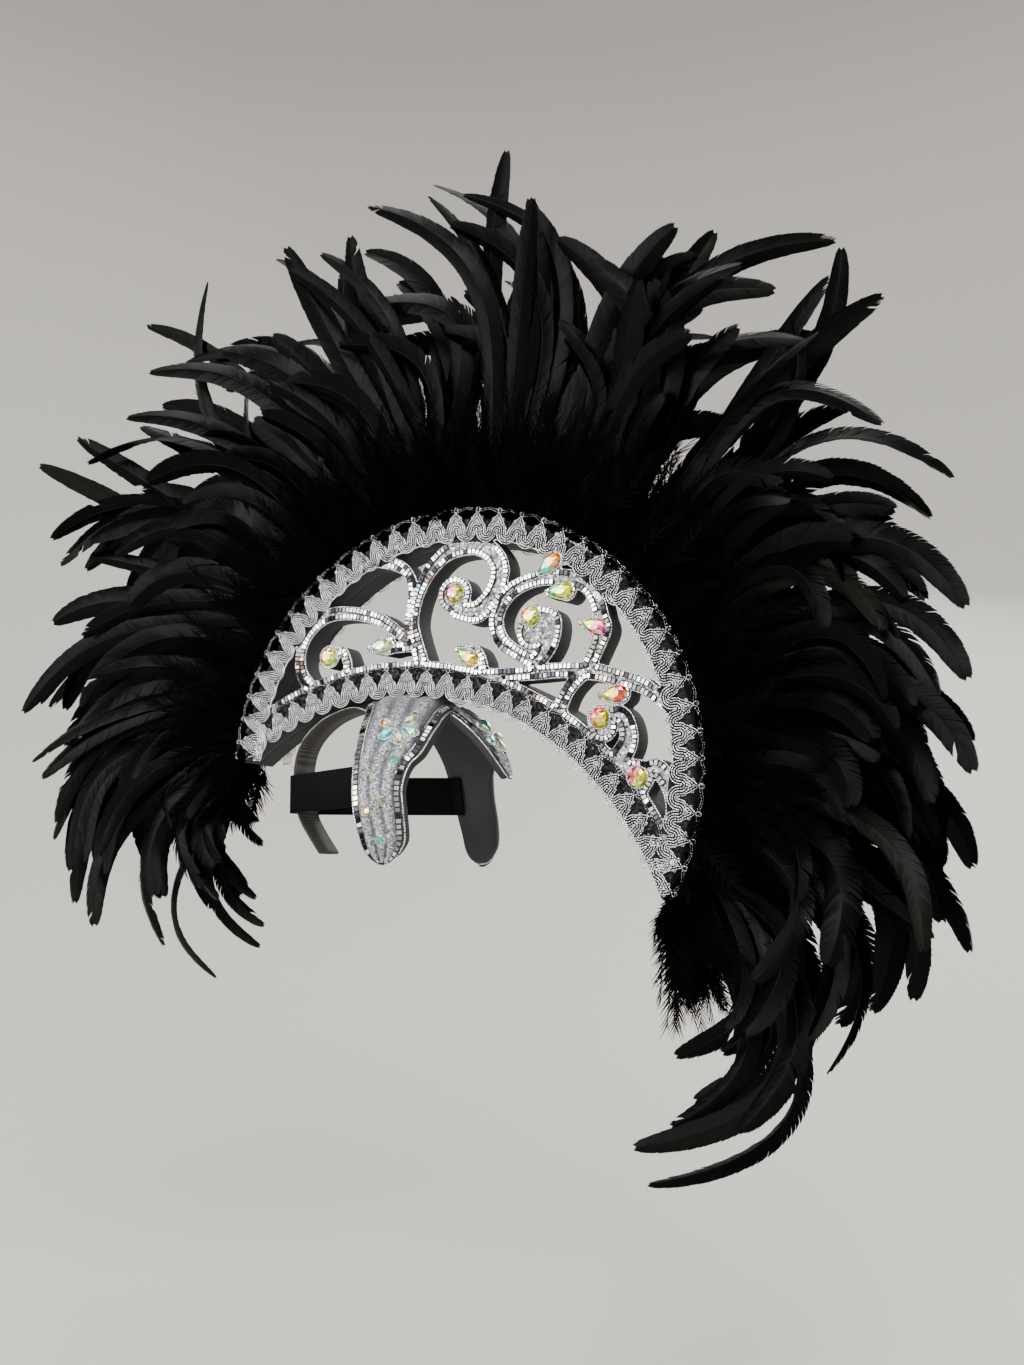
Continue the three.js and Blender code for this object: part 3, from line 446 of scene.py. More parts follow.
def flakes(tree, shader, grain, spread, place):
    """Turns the surface this way and that, flake by flake, and returns a random number for each."""
    cells = add(tree, "ShaderNodeTexVoronoi", {"Vector": place, "Scale": 1 / (grain * MM)})
    chance = cells.outputs["Color"]
    turned = add(tree, "ShaderNodeVectorMath", {0: chance, 1: (0.5, 0.5, 0.5)}, operation="SUBTRACT")
    lean = add(tree, "ShaderNodeVectorMath", {0: turned, "Scale": spread}, operation="SCALE")
    normal = add(tree, "ShaderNodeNewGeometry").outputs["Normal"]
    whole = add(tree, "ShaderNodeVectorMath", {0: normal, 1: lean.outputs[0]}, operation="ADD")
    even = add(tree, "ShaderNodeVectorMath", {0: whole.outputs[0]}, operation="NORMALIZE")
    tree.links.new(even.outputs[0], shader.inputs["Normal"])
    return add(tree, "ShaderNodeSeparateColor", {"Color": chance}).outputs["Red"]


def bumps(tree, shader, height, strength, distance):
    """Raises the surface by a height, over a distance in millimetres."""
    made = add(tree, "ShaderNodeBump", {"Height": height, "Strength": strength, "Distance": distance * MM})
    tree.links.new(made.outputs["Normal"], shader.inputs["Normal"])


def glitter_board():
    """Silver glitter cloth glued to foam board: coarse bright flakes that each catch the light.

    The strips along both arcs, which the lace covers, are painted dark as the shade under the lace."""
    made, tree, shader = surface("Glitter_cloth_silver_bonded", Metallic=0.85, Roughness=0.3)
    place = object_place(tree)
    flake = flakes(tree, shader, 1.7, 0.7, place)
    bright = stops(tree, flake, ["#4f5156", "#909398", "#bbbec1", "#85888c", "#f0f1f3"])
    # Painted shade: near-black colours for the strips under the lace, where its shadow falls.
    painted_lace_shadow = stops(tree, flake, ["#0c0c0d", "#18181a", "#2c2d30"])
    flat = add(tree, "ShaderNodeVectorMath", {0: place, 1: (1, 0, 1)}, operation="MULTIPLY")
    covered = []
    strips = [
        ((0, 0), CREST_RADIUS - OUTER_COVER, "GREATER_THAN"),
        ((SADDLE_SHIFT, -SADDLE_DROP), SADDLE_RADIUS + SADDLE_COVER, "LESS_THAN"),
    ]
    for centre, edge, operation in strips:
        x, _, z = crest([(*centre, 0)])[0]
        gap = add(tree, "ShaderNodeVectorMath", {0: flat.outputs[0], 1: (x, 0, z)}, operation="DISTANCE")
        covered.append(maths(tree, operation, gap.outputs["Value"], edge * MM))
    # Mask of the painted shade under the lace, along both arcs.
    under = maths(tree, "MAXIMUM", *covered)
    paint(tree, shader, faded(tree, under, bright, painted_lace_shadow))
    return made


def foam_core():
    """EVA foam board, cut with a hot knife: matte charcoal with a fine closed grain."""
    made, tree, shader = surface("EVA_foam_charcoal_hot_cut", Roughness=0.88)
    grain = noise(tree, 1.6, Detail=3.0)
    colour = stops(tree, grain.outputs[0], ["#141416", "#26262a", "#333337"])
    paint(tree, shader, colour.outputs[0])
    bumps(tree, shader, grain.outputs[0], 0.5, 0.25)
    return made


def lace_cord():
    """Metallised gimp cord: painted highlight and shade on its wound turns, drawn at 2.4 mm to show, and in
    patches.
    """
    made, tree, shader = surface("Metallised_gimp_cord_silver_wound", Metallic=0.8, Roughness=0.18)
    run = carried(tree, "run")["Fac"]
    # Painted highlight and shade: bright and dark bands along the wound turns, and soft patches of painted
    # glint.
    turns = maths(tree, "SINE", maths(tree, "MULTIPLY", run, 2 * math.pi / (2.4 * MM)))
    painted_glints = noise(tree, 3.5)
    share = maths(tree, "MULTIPLY_ADD", turns, 0.2, painted_glints.outputs[0])
    colour = stops(tree, share, ["#17181a", "#4b4e52", "#e4e6e8", "#ffffff", "#ffffff"])
    paint(tree, shader, colour.outputs[0])
    bumps(tree, shader, turns, 0.3, 0.2)
    return made


def mirror_tile():
    """Acrylic mirror tile, laser cut: a hard face with a painted reflection, bright, grey or dark, a few
    tinted.
    """
    made, tree, shader = surface("Acrylic_mirror_tile_cut", Metallic=0.95, Roughness=0.12)
    colours = [
        "#dfe1e0", "#a4a7ab", "#1d1d20", "#f4f5f4", "#b8bbbe", "#6b6d71", "#d2d4d3", "#17171a", "#9c9fa3",
        "#ecedec", "#c4c7c9", "#8f7a6c", "#2c2d30", "#dcdedd", "#dcd6b4", "#b0b3b6", "#85888c", "#d6d8d8",
    ]
    # Painted reflection: each tile is coloured bright, grey or dark for what it reflects; a few warm ones
    # are real tints.
    colour = stops(tree, carried(tree, "tint")["Fac"], colours, "CONSTANT")
    paint(tree, shader, colour.outputs[0])
    scratch = noise(tree, 2.5)
    rough = add(tree, "ShaderNodeMapRange", {"Value": scratch.outputs[0], "To Min": 0.05, "To Max": 0.2})
    tree.links.new(rough.outputs[0], shader.inputs["Roughness"])
    return made


def cut_glass():
    """Foil-backed glass stone, cut and rainbow coated: each facet its own colour, with painted shade and
    highlight.
    """
    values = {"Metallic": 0.45, "Roughness": 0.06, "Coat_Weight": 1.0, "Coat_Roughness": 0.03}
    made, tree, shader = surface("Glass_stone_foiled_rainbow_coat", **values)
    # The coat value holds each facet's colour with its painted light, shade and highlight flashes.
    coat = carried(tree, "coat")["Color"]
    haze = noise(tree, 5)
    shift = add(tree, "ShaderNodeMapRange", {"Value": haze.outputs[0], "To Min": 0.47, "To Max": 0.53})
    colour = add(tree, "ShaderNodeHueSaturation", {"Hue": shift, "Color": coat, "Saturation": 1.4})
    paint(tree, shader, colour.outputs[0])
    return made


def padded_cloth():
    """Quilted glitter cloth over foam: flakes painted bright on the ridges, painted shade down in the
    channels.
    """
    values = {"Metallic": 0.55, "Roughness": 0.42, "Sheen_Weight": 0.2}
    made, tree, shader = surface("Glitter_cloth_grey_quilted", **values)
    place = object_place(tree)
    flake = flakes(tree, shader, 1.3, 0.55, place)
    # Painted light: the quilting height gives painted highlight on the ridges and painted shade in the
    # channels.
    ridge = carried(tree, "ridge")["Fac"]
    bright = stops(tree, flake, ["#46484c", "#7a7d82", "#adb0b4", "#63666b", "#e0e2e4"])
    plain = stops(tree, flake, ["#303236", "#414347", "#383a3e"])
    paint(tree, shader, faded(tree, ridge, plain, bright))
    return made


def satin_band():
    """Satin ribbon glued round a sprung band: dark grey, with a soft light on its fine weft."""
    values = {"Roughness": 0.6, "IOR": 1.3, "Specular_IOR_Level": 0.2}
    made, tree, shader = surface("Polyester_satin_grey_woven", **values)
    place = object_place(tree)
    weft = add(tree, "ShaderNodeTexWave", {"Vector": place, "Scale": 0.314 / (1.4 * MM), "Distortion": 0.6})
    colour = stops(tree, weft.outputs[0], ["#2b2a29", "#454442"])
    paint(tree, shader, colour.outputs[0])
    bumps(tree, shader, weft.outputs[0], 0.25, 0.15)
    return made


def woven_elastic():
    """Woven elastic tape: matte black, with lengthwise ribs 1.8 mm apart."""
    values = {"Roughness": 0.85, "IOR": 1.3, "Specular_IOR_Level": 0.2}
    made, tree, shader = surface("Woven_elastic_black_ribbed", **values)
    height = add(tree, "ShaderNodeSeparateXYZ", {0: object_place(tree)}).outputs["Z"]
    ribs = maths(tree, "SINE", maths(tree, "MULTIPLY", height, 2 * math.pi / (1.8 * MM)))
    share = maths(tree, "MULTIPLY_ADD", ribs, 0.5, 0.5)
    colour = stops(tree, share, ["#030304", "#0d0d0f"])
    paint(tree, shader, colour.outputs[0])
    bumps(tree, shader, share, 0.7, 0.35)
    return made


def tail_vane():
    """Cock tail feather, dyed black: smooth barbs with a soft grey sheen, a few blades painted olive as
    backlight through them.

    Real barbs lie about 0.4 mm apart; they are drawn at 1.1 mm so that they show."""
    values = {"Roughness": 0.34, "IOR": 1.3, "Specular_IOR_Level": 0.14}
    made, tree, shader = surface("Cock_tail_vane_dyed_black", **values)
    lane = maths(tree, "ADD", carried(tree, "run")["Fac"], carried(tree, "barb")["Fac"])
    lines = maths(tree, "SINE", maths(tree, "MULTIPLY", lane, 2 * math.pi / (1.1 * MM)))
    share = maths(tree, "MULTIPLY_ADD", lines, 0.5, 0.5)
    # The blacks are dye; the two olive-brown colours are painted light, the glow of backlight through a
    # blade.
    dyes_and_backlight = ["#010101", "#020202", "#030304", "#060607", "#12110c", "#211e14"]
    dye_and_backlight = stops(tree, carried(tree, "tint")["Fac"], dyes_and_backlight)
    shade = add(tree, "ShaderNodeMapRange", {"Value": share, "To Min": 0.75, "To Max": 1.25})
    colour = add(tree, "ShaderNodeHueSaturation", {"Value": shade, "Color": dye_and_backlight.outputs[0]})
    paint(tree, shader, colour.outputs[0])
    patch = noise(tree, 30)
    rough = add(tree, "ShaderNodeMapRange", {"Value": patch.outputs[0], "To Min": 0.22, "To Max": 0.44})
    tree.links.new(rough.outputs[0], shader.inputs["Roughness"])
    bumps(tree, shader, share, 0.25, 0.12)
    return made


def feather_shaft():
    """The shaft of a tail feather: horn, dyed, worn to a lighter brown-grey in soft patches."""
    made, tree, shader = surface("Feather_shaft_horn_dyed", Roughness=0.4, IOR=1.3, Specular_IOR_Level=0.3)
    shade = noise(tree, 9)
    colour = stops(tree, shade.outputs[0], ["#060606", "#11100f", "#24221f"])
    paint(tree, shader, colour.outputs[0])
    return made


def hackle_fluff():
    """Soft hackle for a boa, dyed deep black: loose matte barbs that swallow the light."""
    made, tree, shader = surface("Hackle_boa_dyed_black", Roughness=0.8, IOR=1.2, Specular_IOR_Level=0.15)
    colour = stops(tree, carried(tree, "tint")["Fac"], ["#010101", "#020202", "#050505"])
    paint(tree, shader, colour.outputs[0])
    return made


def studio_paper(name, code):
    """Seamless background paper: dead matte, with a very faint tooth."""
    made, tree, shader = surface(name, Roughness=0.95, Base_Color=code)
    tooth = noise(tree, 2.5)
    bumps(tree, shader, tooth.outputs[0], 0.05, 0.1)
    return made


GLITTER = glitter_board()
FOAM = foam_core()
CORD = lace_cord()
TILE = mirror_tile()
GLASS = cut_glass()
CLOTH = padded_cloth()
SATIN = satin_band()
ELASTIC = woven_elastic()
VANE_DYE = tail_vane()
SHAFT = feather_shaft()
FLUFF = hackle_fluff()


def evenly(line, step, closed=False):
    """The points of a line at even steps, and the way that it runs at each."""
    line = np.asarray(line, float)
    if closed:
        line = np.vstack([line, line[:1]])
    reach = np.concatenate([[0], np.cumsum(np.linalg.norm(np.diff(line, axis=0), axis=1))])
    at = np.linspace(0, reach[-1], max(3, round(reach[-1] / step) + 1))
    points = np.stack([np.interp(at, reach, column) for column in line.T], axis=1)
    return points, unit(np.gradient(points, axis=0))


def guide(name, runs, **values):
    """A mesh of lines, with the values that its points carry."""
    points = np.vstack(runs)
    edges = []
    start = 0
    for run in runs:
        edges += [(i, i + 1) for i in range(start, start + len(run) - 1)]
        start += len(run)
    made = bpy.data.meshes.new(name)
    made.from_pydata(points.tolist(), edges, [])
    values.setdefault("girth", np.ones(len(points)))
    for label, numbers in values.items():
        numbers = np.asarray(numbers, float)
        if numbers.ndim == 2:
            made.attributes.new(label, "FLOAT_VECTOR", "POINT").data.foreach_set("vector", numbers.ravel())
        else:
            made.attributes.new(label, "FLOAT", "POINT").data.foreach_set("value", numbers)
    return made


def new_tree(name, **sizes):
    """A Geometry Nodes tree with its named inputs, and what it takes in and gives out."""
    tree = bpy.data.node_groups.new(name, "GeometryNodeTree")
    tree.interface.new_socket("Geometry", in_out="INPUT", socket_type="NodeSocketGeometry")
    for label, value in sizes.items():
        kind = "NodeSocketInt" if isinstance(value, int) else "NodeSocketFloat"
        tree.interface.new_socket(label, in_out="INPUT", socket_type=kind).default_value = value
    tree.interface.new_socket("Finish", in_out="INPUT", socket_type="NodeSocketMaterial")
    tree.interface.new_socket("Geometry", in_out="OUTPUT", socket_type="NodeSocketGeometry")
    return tree, tree.nodes.new("NodeGroupInput").outputs


def finish_tree(tree, given, shapes):
    """Ends a tree: everything realized, in one finish."""
    whole = add(tree, "GeometryNodeRealizeInstances", {"Geometry": shapes})
    done = add(tree, "GeometryNodeSetMaterial", {"Geometry": whole, "Material": given["Finish"]})
    add(tree, "NodeGroupOutput", {"Geometry": done})
    return tree


def read(tree, name, kind="FLOAT"):
    """A value that the points of a guide carry."""
    return add(tree, "GeometryNodeInputNamedAttribute", {"Name": name}, data_type=kind)


def point_frame(tree):
    """The turn that stands a shape up along the way out of a point, its Y along the way of the line."""
    ways = {
        "Primary Axis": read(tree, "out", "FLOAT_VECTOR"),
        "Secondary Axis": read(tree, "along", "FLOAT_VECTOR"),
    }
    return add(tree, "FunctionNodeAxesToRotation", ways, primary_axis="Z", secondary_axis="Y")


def cord_tree():
    """A round cord along each line."""
    tree, given = new_tree("Cord_along_lines", Thickness=0.001, Sides=5)
    line = add(tree, "GeometryNodeMeshToCurve", {"Mesh": given["Geometry"]})
    length = add(tree, "GeometryNodeSplineParameter").outputs["Length"]
    kept = add(tree, "GeometryNodeStoreNamedAttribute", {"Geometry": line, "Name": "run", "Value": length})
    half = maths(tree, "MULTIPLY", given["Thickness"], 0.5)
    ring = add(tree, "GeometryNodeCurvePrimitiveCircle", {"Resolution": given["Sides"], "Radius": half})
    parts = {"Curve": kept, "Profile Curve": ring, "Scale": read(tree, "girth"), "Fill Caps": True}
    tube = add(tree, "GeometryNodeCurveToMesh", parts)
    return finish_tree(tree, given, add(tree, "GeometryNodeSetShadeSmooth", {"Geometry": tube}))


def tile_tree():
    """A tile with chamfered edges on each point."""
    tree, given = new_tree("Tiles_on_points", Size=0.0032, Reach=1.4, Height=0.0009, Chamfer=0.82, Seed=1)
    base = maths(tree, "MULTIPLY", given["Size"], math.sqrt(0.5))
    top = maths(tree, "MULTIPLY", base, given["Chamfer"])
    shape = {"Vertices": 4, "Radius Top": top, "Radius Bottom": base, "Depth": given["Height"]}
    block = add(tree, "GeometryNodeMeshCone", shape)
    square = add(tree, "GeometryNodeTransform", {"Geometry": block, "Rotation": (0, 0, math.radians(45))})
    stretch = add(tree, "ShaderNodeCombineXYZ", {"X": given["Reach"], "Y": 1.0, "Z": 1.0})
    turned = add(tree, "GeometryNodeTransform", {"Geometry": square, "Scale": stretch})
    sizes = {2: 0.92, 3: 1.05, "Seed": given["Seed"]}
    scale = add(tree, "FunctionNodeRandomValue", sizes, data_type="FLOAT")
    leans = {0: (-0.09, -0.09, -0.05), 1: (0.09, 0.09, 0.05)}
    tilt = add(tree, "FunctionNodeRandomValue", leans, data_type="FLOAT_VECTOR")
    parts = {0: point_frame(tree), 1: tilt}
    turn = add(tree, "FunctionNodeRotateRotation", parts, rotation_space="LOCAL")
    spots = {"Points": given["Geometry"], "Instance": turned, "Rotation": turn, "Scale": scale}
    return finish_tree(tree, given, add(tree, "GeometryNodeInstanceOnPoints", spots))


def barb_tree():
    """Barbs on both sides of each shaft, in clumps that hook on to the next."""
    sizes = {"Pitch": 0.0038, "Overlap": 1.3, "Sweep": 0.011, "Droop": 0.0012, "Taper": 0.1, "Jitter": 0.1}
    tree, given = new_tree("Barbs_on_shafts", **sizes, Steps=3, Seed=1)
    grid = {"Size X": 1.0, "Size Y": 1.0, "Vertices X": given["Steps"], "Vertices Y": 2}
    sheet = add(tree, "GeometryNodeMeshGrid", grid)
    place = add(tree, "ShaderNodeSeparateXYZ", {0: add(tree, "GeometryNodeInputPosition")})
    away = maths(tree, "ADD", place.outputs["X"], 0.5)
    slim = maths(tree, "SUBTRACT", 1.0, maths(tree, "MULTIPLY", away, given["Taper"]))
    wide = maths(tree, "MULTIPLY", given["Pitch"], given["Overlap"])
    barb = maths(tree, "MULTIPLY", place.outputs["Y"], maths(tree, "MULTIPLY", wide, slim))
    swept = maths(tree, "MULTIPLY_ADD", maths(tree, "POWER", away, 1.2), given["Sweep"], barb)
    fall = maths(tree, "MULTIPLY", given["Droop"], -1.0)
    sunk = maths(tree, "MULTIPLY", maths(tree, "POWER", away, 2.0), fall)
    moved = add(tree, "ShaderNodeCombineXYZ", {"X": away, "Y": swept, "Z": sunk})
    place_along = {"Geometry": sheet.outputs[0], "Name": "barb", "Value": barb}
    kept = add(tree, "GeometryNodeStoreNamedAttribute", place_along)
    clump = add(tree, "GeometryNodeSetPosition", {"Geometry": kept, "Position": moved})
    sides = []
    for label, sign in (("right", 1.0), ("left", -1.0)):
        lean = maths(tree, "MULTIPLY", given["Jitter"], -1.0)
        swing = {2: lean, 3: given["Jitter"], "Seed": maths(tree, "ADD", given["Seed"], 7.0 * sign)}
        roll = add(tree, "FunctionNodeRandomValue", swing, data_type="FLOAT")
        turn = add(tree, "FunctionNodeAxisAngleToRotation", {"Axis": (0, 1, 0), "Angle": roll})
        parts = {0: point_frame(tree), 1: turn}
        whole = add(tree, "FunctionNodeRotateRotation", parts, rotation_space="LOCAL")
        half = maths(tree, "MULTIPLY", read(tree, label), sign)
        share = read(tree, "scale")
        size = add(tree, "ShaderNodeCombineXYZ", {"X": half, "Y": share, "Z": share})
        spots = {"Points": given["Geometry"], "Instance": clump, "Rotation": whole, "Scale": size}
        grown = add(tree, "GeometryNodeInstanceOnPoints", spots)
        real = add(tree, "GeometryNodeRealizeInstances", {"Geometry": grown})
        sides.append(real if sign > 0 else add(tree, "GeometryNodeFlipFaces", {"Mesh": real}))
    both = add(tree, "GeometryNodeJoinGeometry")
    for side in sides:
        tree.links.new(side.outputs[0], both.inputs[0])
    return finish_tree(tree, given, add(tree, "GeometryNodeSetShadeSmooth", {"Geometry": both}))


CORDS = cord_tree()
TILES = tile_tree()
BARBS = barb_tree()


def make(name, base, tree, finish, **sizes):
    """The plain mesh that a tree makes of a base mesh."""
    host = stand(name, base)
    modifier = host.modifiers.new(name, "NODES")
    modifier.node_group = tree
    for item in tree.interface.items_tree:
        if item.in_out == "INPUT" and item.name in sizes:
            modifier[item.identifier] = sizes[item.name]
        if item.in_out == "INPUT" and item.name == "Finish":
            modifier[item.identifier] = finish
    graph = bpy.context.evaluated_depsgraph_get()
    kept = {"preserve_all_data_layers": True, "depsgraph": graph}
    made = bpy.data.meshes.new_from_object(host.evaluated_get(graph), **kept)
    bpy.data.objects.remove(host)
    return made


def piece(name, data):
    """A finished piece, with its place in its mesh."""
    data.name = name
    made = stand(name, data)
    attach(made, "root")
    return made


def joined(meshes):
    """Several meshes in one, with their finishes and the values that they carry."""
    objects = [stand("part", data) for data in meshes]
    for part in objects:
        part.select_set(True)
    bpy.context.view_layer.objects.active = objects[0]
    with bpy.context.temp_override(active_object=objects[0], selected_editable_objects=objects):
        bpy.ops.object.join()
    data = objects[0].data
    bpy.data.objects.remove(objects[0])
    return data


def ring_faces(rings, count):
    """Faces of a closed skin over rings of one count of points, with its two ends last."""
    faces = []
    for i in range(rings - 1):
        for j in range(count):
            k = (j + 1) % count
            faces.append((i * count + j, i * count + k, (i + 1) * count + k, (i + 1) * count + j))
    return [*faces, tuple(range(count))[::-1], tuple(range((rings - 1) * count, rings * count))]


def turn_out(data):
    """Turns the faces of a closed mesh outwards, and smooths its shading."""
    work = bmesh.new()
    work.from_mesh(data)
    bmesh.ops.recalc_face_normals(work, faces=work.faces)
    work.to_mesh(data)
    work.free()
    data.shade_smooth()


def tile_reflections_and_tints(count, seed):
    """Picks of painted reflection and tint in short runs of like tiles, as strips of mirror mosaic come."""
    chance = np.random.default_rng(seed)
    tints = []
    while len(tints) < count:
        tints += [chance.random()] * int(chance.integers(1, 4))
    return np.array(tints[:count])


# The near board

def blend(one, other):
    """The nearer of two distances, with a small fillet where they meet."""
    near = np.clip(FILLET - np.abs(one - other), 0, None) / FILLET
    return np.minimum(one, other) - near**2 * FILLET / 4


def taper(across, up, start, end):
    """Distance to a straight stroke whose half width changes from its start to its end."""
    way = np.array(end[:2]) - start[:2]
    share = np.clip(((across - start[0]) * way[0] + (up - start[1]) * way[1]) / (way @ way), 0, 1)
    gap = np.hypot(across - start[0] - share * way[0], up - start[1] - share * way[1])
    return gap - (start[2] + (end[2] - start[2]) * share)


def foam_field():
    """Distance from each point of a grid to the edge of the cut foam, negative inside it."""
    along = np.arange(-CREST_RADIUS - 4, CREST_RADIUS + 5, FIELD_STEP)
    high = np.arange(-66, CREST_RADIUS + 5, FIELD_STEP)
    across, up = np.meshgrid(along, high)
    rim = np.hypot(across, up)
    saddle = np.hypot(across - SADDLE_SHIFT, up + SADDLE_DROP)
    crescent = np.maximum(rim - CREST_RADIUS, SADDLE_RADIUS - saddle)
    hole = np.maximum(rim - CREST_RADIUS + RIM_WIDTH, SADDLE_RADIUS + SADDLE_WIDTH - saddle)
    field = np.maximum(crescent, -hole)
    strokes = []
    for rows in SCROLLS.values():
        line = smooth(rows, 6) * PERCENT * (1, 1, 0.5)
        strokes.append(list(zip(line, line[1:])))
    for eye in EYES:
        x, z, r = np.array(eye) * PERCENT
        strokes.append([((x, z, r), (x + 0.1, z, r))])
    for _, x, z, tip, _, _ in CREST_STONES:
        if tip is None:
            continue
        centre = np.array([x, z]) * PERCENT
        way = np.array([math.cos(math.radians(tip)), math.sin(math.radians(tip))])
        strokes.append([tuple((*(centre + past * way), half) for past, half in DROP_PAD)])
    for stroke in strokes:
        nearest = np.full_like(field, CREST_RADIUS)
        for start, end in stroke:
            reach = max(start[2], end[2]) + 3 * FILLET
            low = np.minimum(start[:2], end[:2]) - reach
            top = np.maximum(start[:2], end[:2]) + reach
            rows = slice(*np.searchsorted(high, (low[1], top[1])))
            columns = slice(*np.searchsorted(along, (low[0], top[0])))
            part = taper(across[rows, columns], up[rows, columns], np.array(start), np.array(end))
            nearest[rows, columns] = np.minimum(nearest[rows, columns], part)
        field = blend(field, nearest)
    return along, high, np.maximum(field, crescent)


def contours(along, high, field, level):
    """Closed lines where the field crosses a level."""
    inside = field < level
    mixed = inside[:-1, :-1].astype(int) + inside[1:, :-1] + inside[:-1, 1:] + inside[1:, 1:]
    links = {}
    for i, j in zip(*np.nonzero((mixed > 0) & (mixed < 4))):
        corners = [(i, j), (i, j + 1), (i + 1, j + 1), (i + 1, j)]
        sides = zip(corners, corners[1:] + corners[:1])
        crossed = [tuple(sorted(side)) for side in sides if inside[side[0]] != inside[side[1]]]
        for one, other in zip(crossed[::2], crossed[1::2]):
            links.setdefault(one, []).append(other)
            links.setdefault(other, []).append(one)
    loops = []
    while links:
        here = next(iter(links))
        loop = []
        while here is not None:
            loop.append(here)
            after = [key for key in links.pop(here) if key in links]
            here = after[0] if after else None
        points = []
        for a, b in loop:
            share = (level - field[a]) / (field[b] - field[a])
            here = np.array([along[a[1]], high[a[0]]])
            points.append(here + share * (np.array([along[b[1]], high[b[0]]]) - here))
        loops.append(np.array(points))
    return [loop for loop in loops if len(loop) > 12]


def cut_sheet(loops, back, face, chamfer):
    """A sheet of foam inside closed lines, its edges slightly rounded, placed in the crescent."""
    curve = bpy.data.curves.new("sheet", "CURVE")
    curve.dimensions = "2D"
    curve.fill_mode = "BOTH"
    curve.extrude = (face - back) / 2 - chamfer
    curve.bevel_depth = chamfer
    curve.bevel_resolution = 1
    curve.offset = -chamfer
    for loop in loops:
        points, _ = evenly(loop, 2.0, closed=True)
        spline = curve.splines.new("POLY")
        spline.points.add(len(points) - 2)
        flat = np.zeros((len(points) - 1, 4))
        flat[:, :2] = points[:-1]
        spline.points.foreach_set("co", flat.ravel())
        spline.use_cyclic_u = True
    host = stand("sheet", curve)
    made = bpy.data.meshes.new_from_object(host.evaluated_get(bpy.context.evaluated_depsgraph_get()))
    bpy.data.objects.remove(host)
    flat = np.zeros(len(made.vertices) * 3)
    made.vertices.foreach_get("co", flat)
    places = flat.reshape(-1, 3) + (0, 0, (face + back) / 2)
    made.vertices.foreach_set("co", crest(places).ravel())
    made.update()
    return made


def scroll_board():
    """Foam board cut into scrolls, glitter cloth on its face, tiles and a fine cord along its edges.

    The crescent's own outline, which is the longest, has no cord: the lace covers it."""
    along, high, field = foam_field()
    board = cut_sheet(contours(along, high, field, 0.0), BOARD_BACK, BOARD_FACE, BOARD_CHAMFER)
    board.materials.clear()
    board.materials.append(FOAM)
    board.materials.append(GLITTER)
    for face in board.polygons:
        face.material_index = int(abs(face.normal.y) > 0.8)
    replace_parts(piece("scroll_board", board), "crest_board")
    places = []
    ways = []
    for loop in contours(along, high, field, -TILE_INSET):
        points, runs = evenly(loop, TILE_PITCH, closed=True)
        places.append(points[:-1])
        ways.append(runs[:-1])
    places = np.vstack(places)
    ways = np.vstack(ways)
    keep = np.hypot(*places.T) < CREST_RADIUS - OUTER_COVER - 3
    keep &= np.hypot(places[:, 0] - SADDLE_SHIFT, places[:, 1] + SADDLE_DROP) > SADDLE_RADIUS + SADDLE_COVER
    for _, x, z, _, _, _ in CREST_STONES:
        keep &= np.hypot(*(places - np.array([x, z]) * PERCENT).T) > ROUND_SIZE / 2 + 1.2
    places, ways = places[keep], ways[keep]
    faces = np.column_stack([places, np.full(len(places), BOARD_FACE + TILE_LIFT)])
    outs = crest_way(np.tile((0, 0, 1), (len(places), 1)))
    runs = crest_way(np.column_stack([ways, np.zeros(len(places))]))
    # Picks of painted reflection and real tint for the tiles.
    tints = tile_reflections_and_tints(len(places), 3)
    spots = guide("tile_spots", [crest([p]) for p in faces], out=outs, along=runs, tint=tints)
    tape = make("tape", spots, TILES, FOAM, Size=0.0042, Reach=1.2, Height=0.0007, Chamfer=1.0, Seed=3)
    tiles = make("tiles", spots.copy(), TILES, TILE, Size=0.0031, Reach=1.45, Height=0.0013, Seed=3)
    piece("scroll_tiles", joined([tiles, tape]))
    edges = []
    girths = []
    for loop in sorted(contours(along, high, field, -CORD_INSET), key=len)[:-1]:
        points, _ = evenly(loop, CORD_STEP, closed=True)
        for depth, girth in ((BOARD_FACE, 1.0), (BOARD_BACK + 0.7, 0.55)):
            edges.append(crest(np.column_stack([points, np.full(len(points), depth)])))
            girths.append(np.full(len(points), girth))
    base = guide("edging", edges, girth=np.concatenate(girths))
    edging = make("scroll_edging", base, CORDS, CORD, Thickness=0.0014, Sides=5)
    piece("scroll_edging", edging)


scroll_board()

ring = bpy.data.objects["crest_ring"]
ring.data.materials.clear()
ring.data.materials.append(FOAM)


# Lace

def serpentine(repeats, offset):
    """One cord of the bundle that runs round the scallops at the foot and over the crowns between."""
    turn = np.radians(np.arange(0, 180, 18))
    run = []
    for i in range(repeats):
        bends = (
            (i + 0.25, FOOT_LEVEL, -1, (FOOT_BEND + offset) / LACE_PITCH),
            (i + 0.75, CROWN_LEVEL, 1, (CROWN_BEND - offset) / LACE_PITCH),
        )
        for middle, level, way, half in bends:
            heights = level + way * half * LACE_PITCH * np.sin(turn)
            run.append(np.column_stack([middle - half * np.cos(turn), heights]))
    return np.vstack(run)


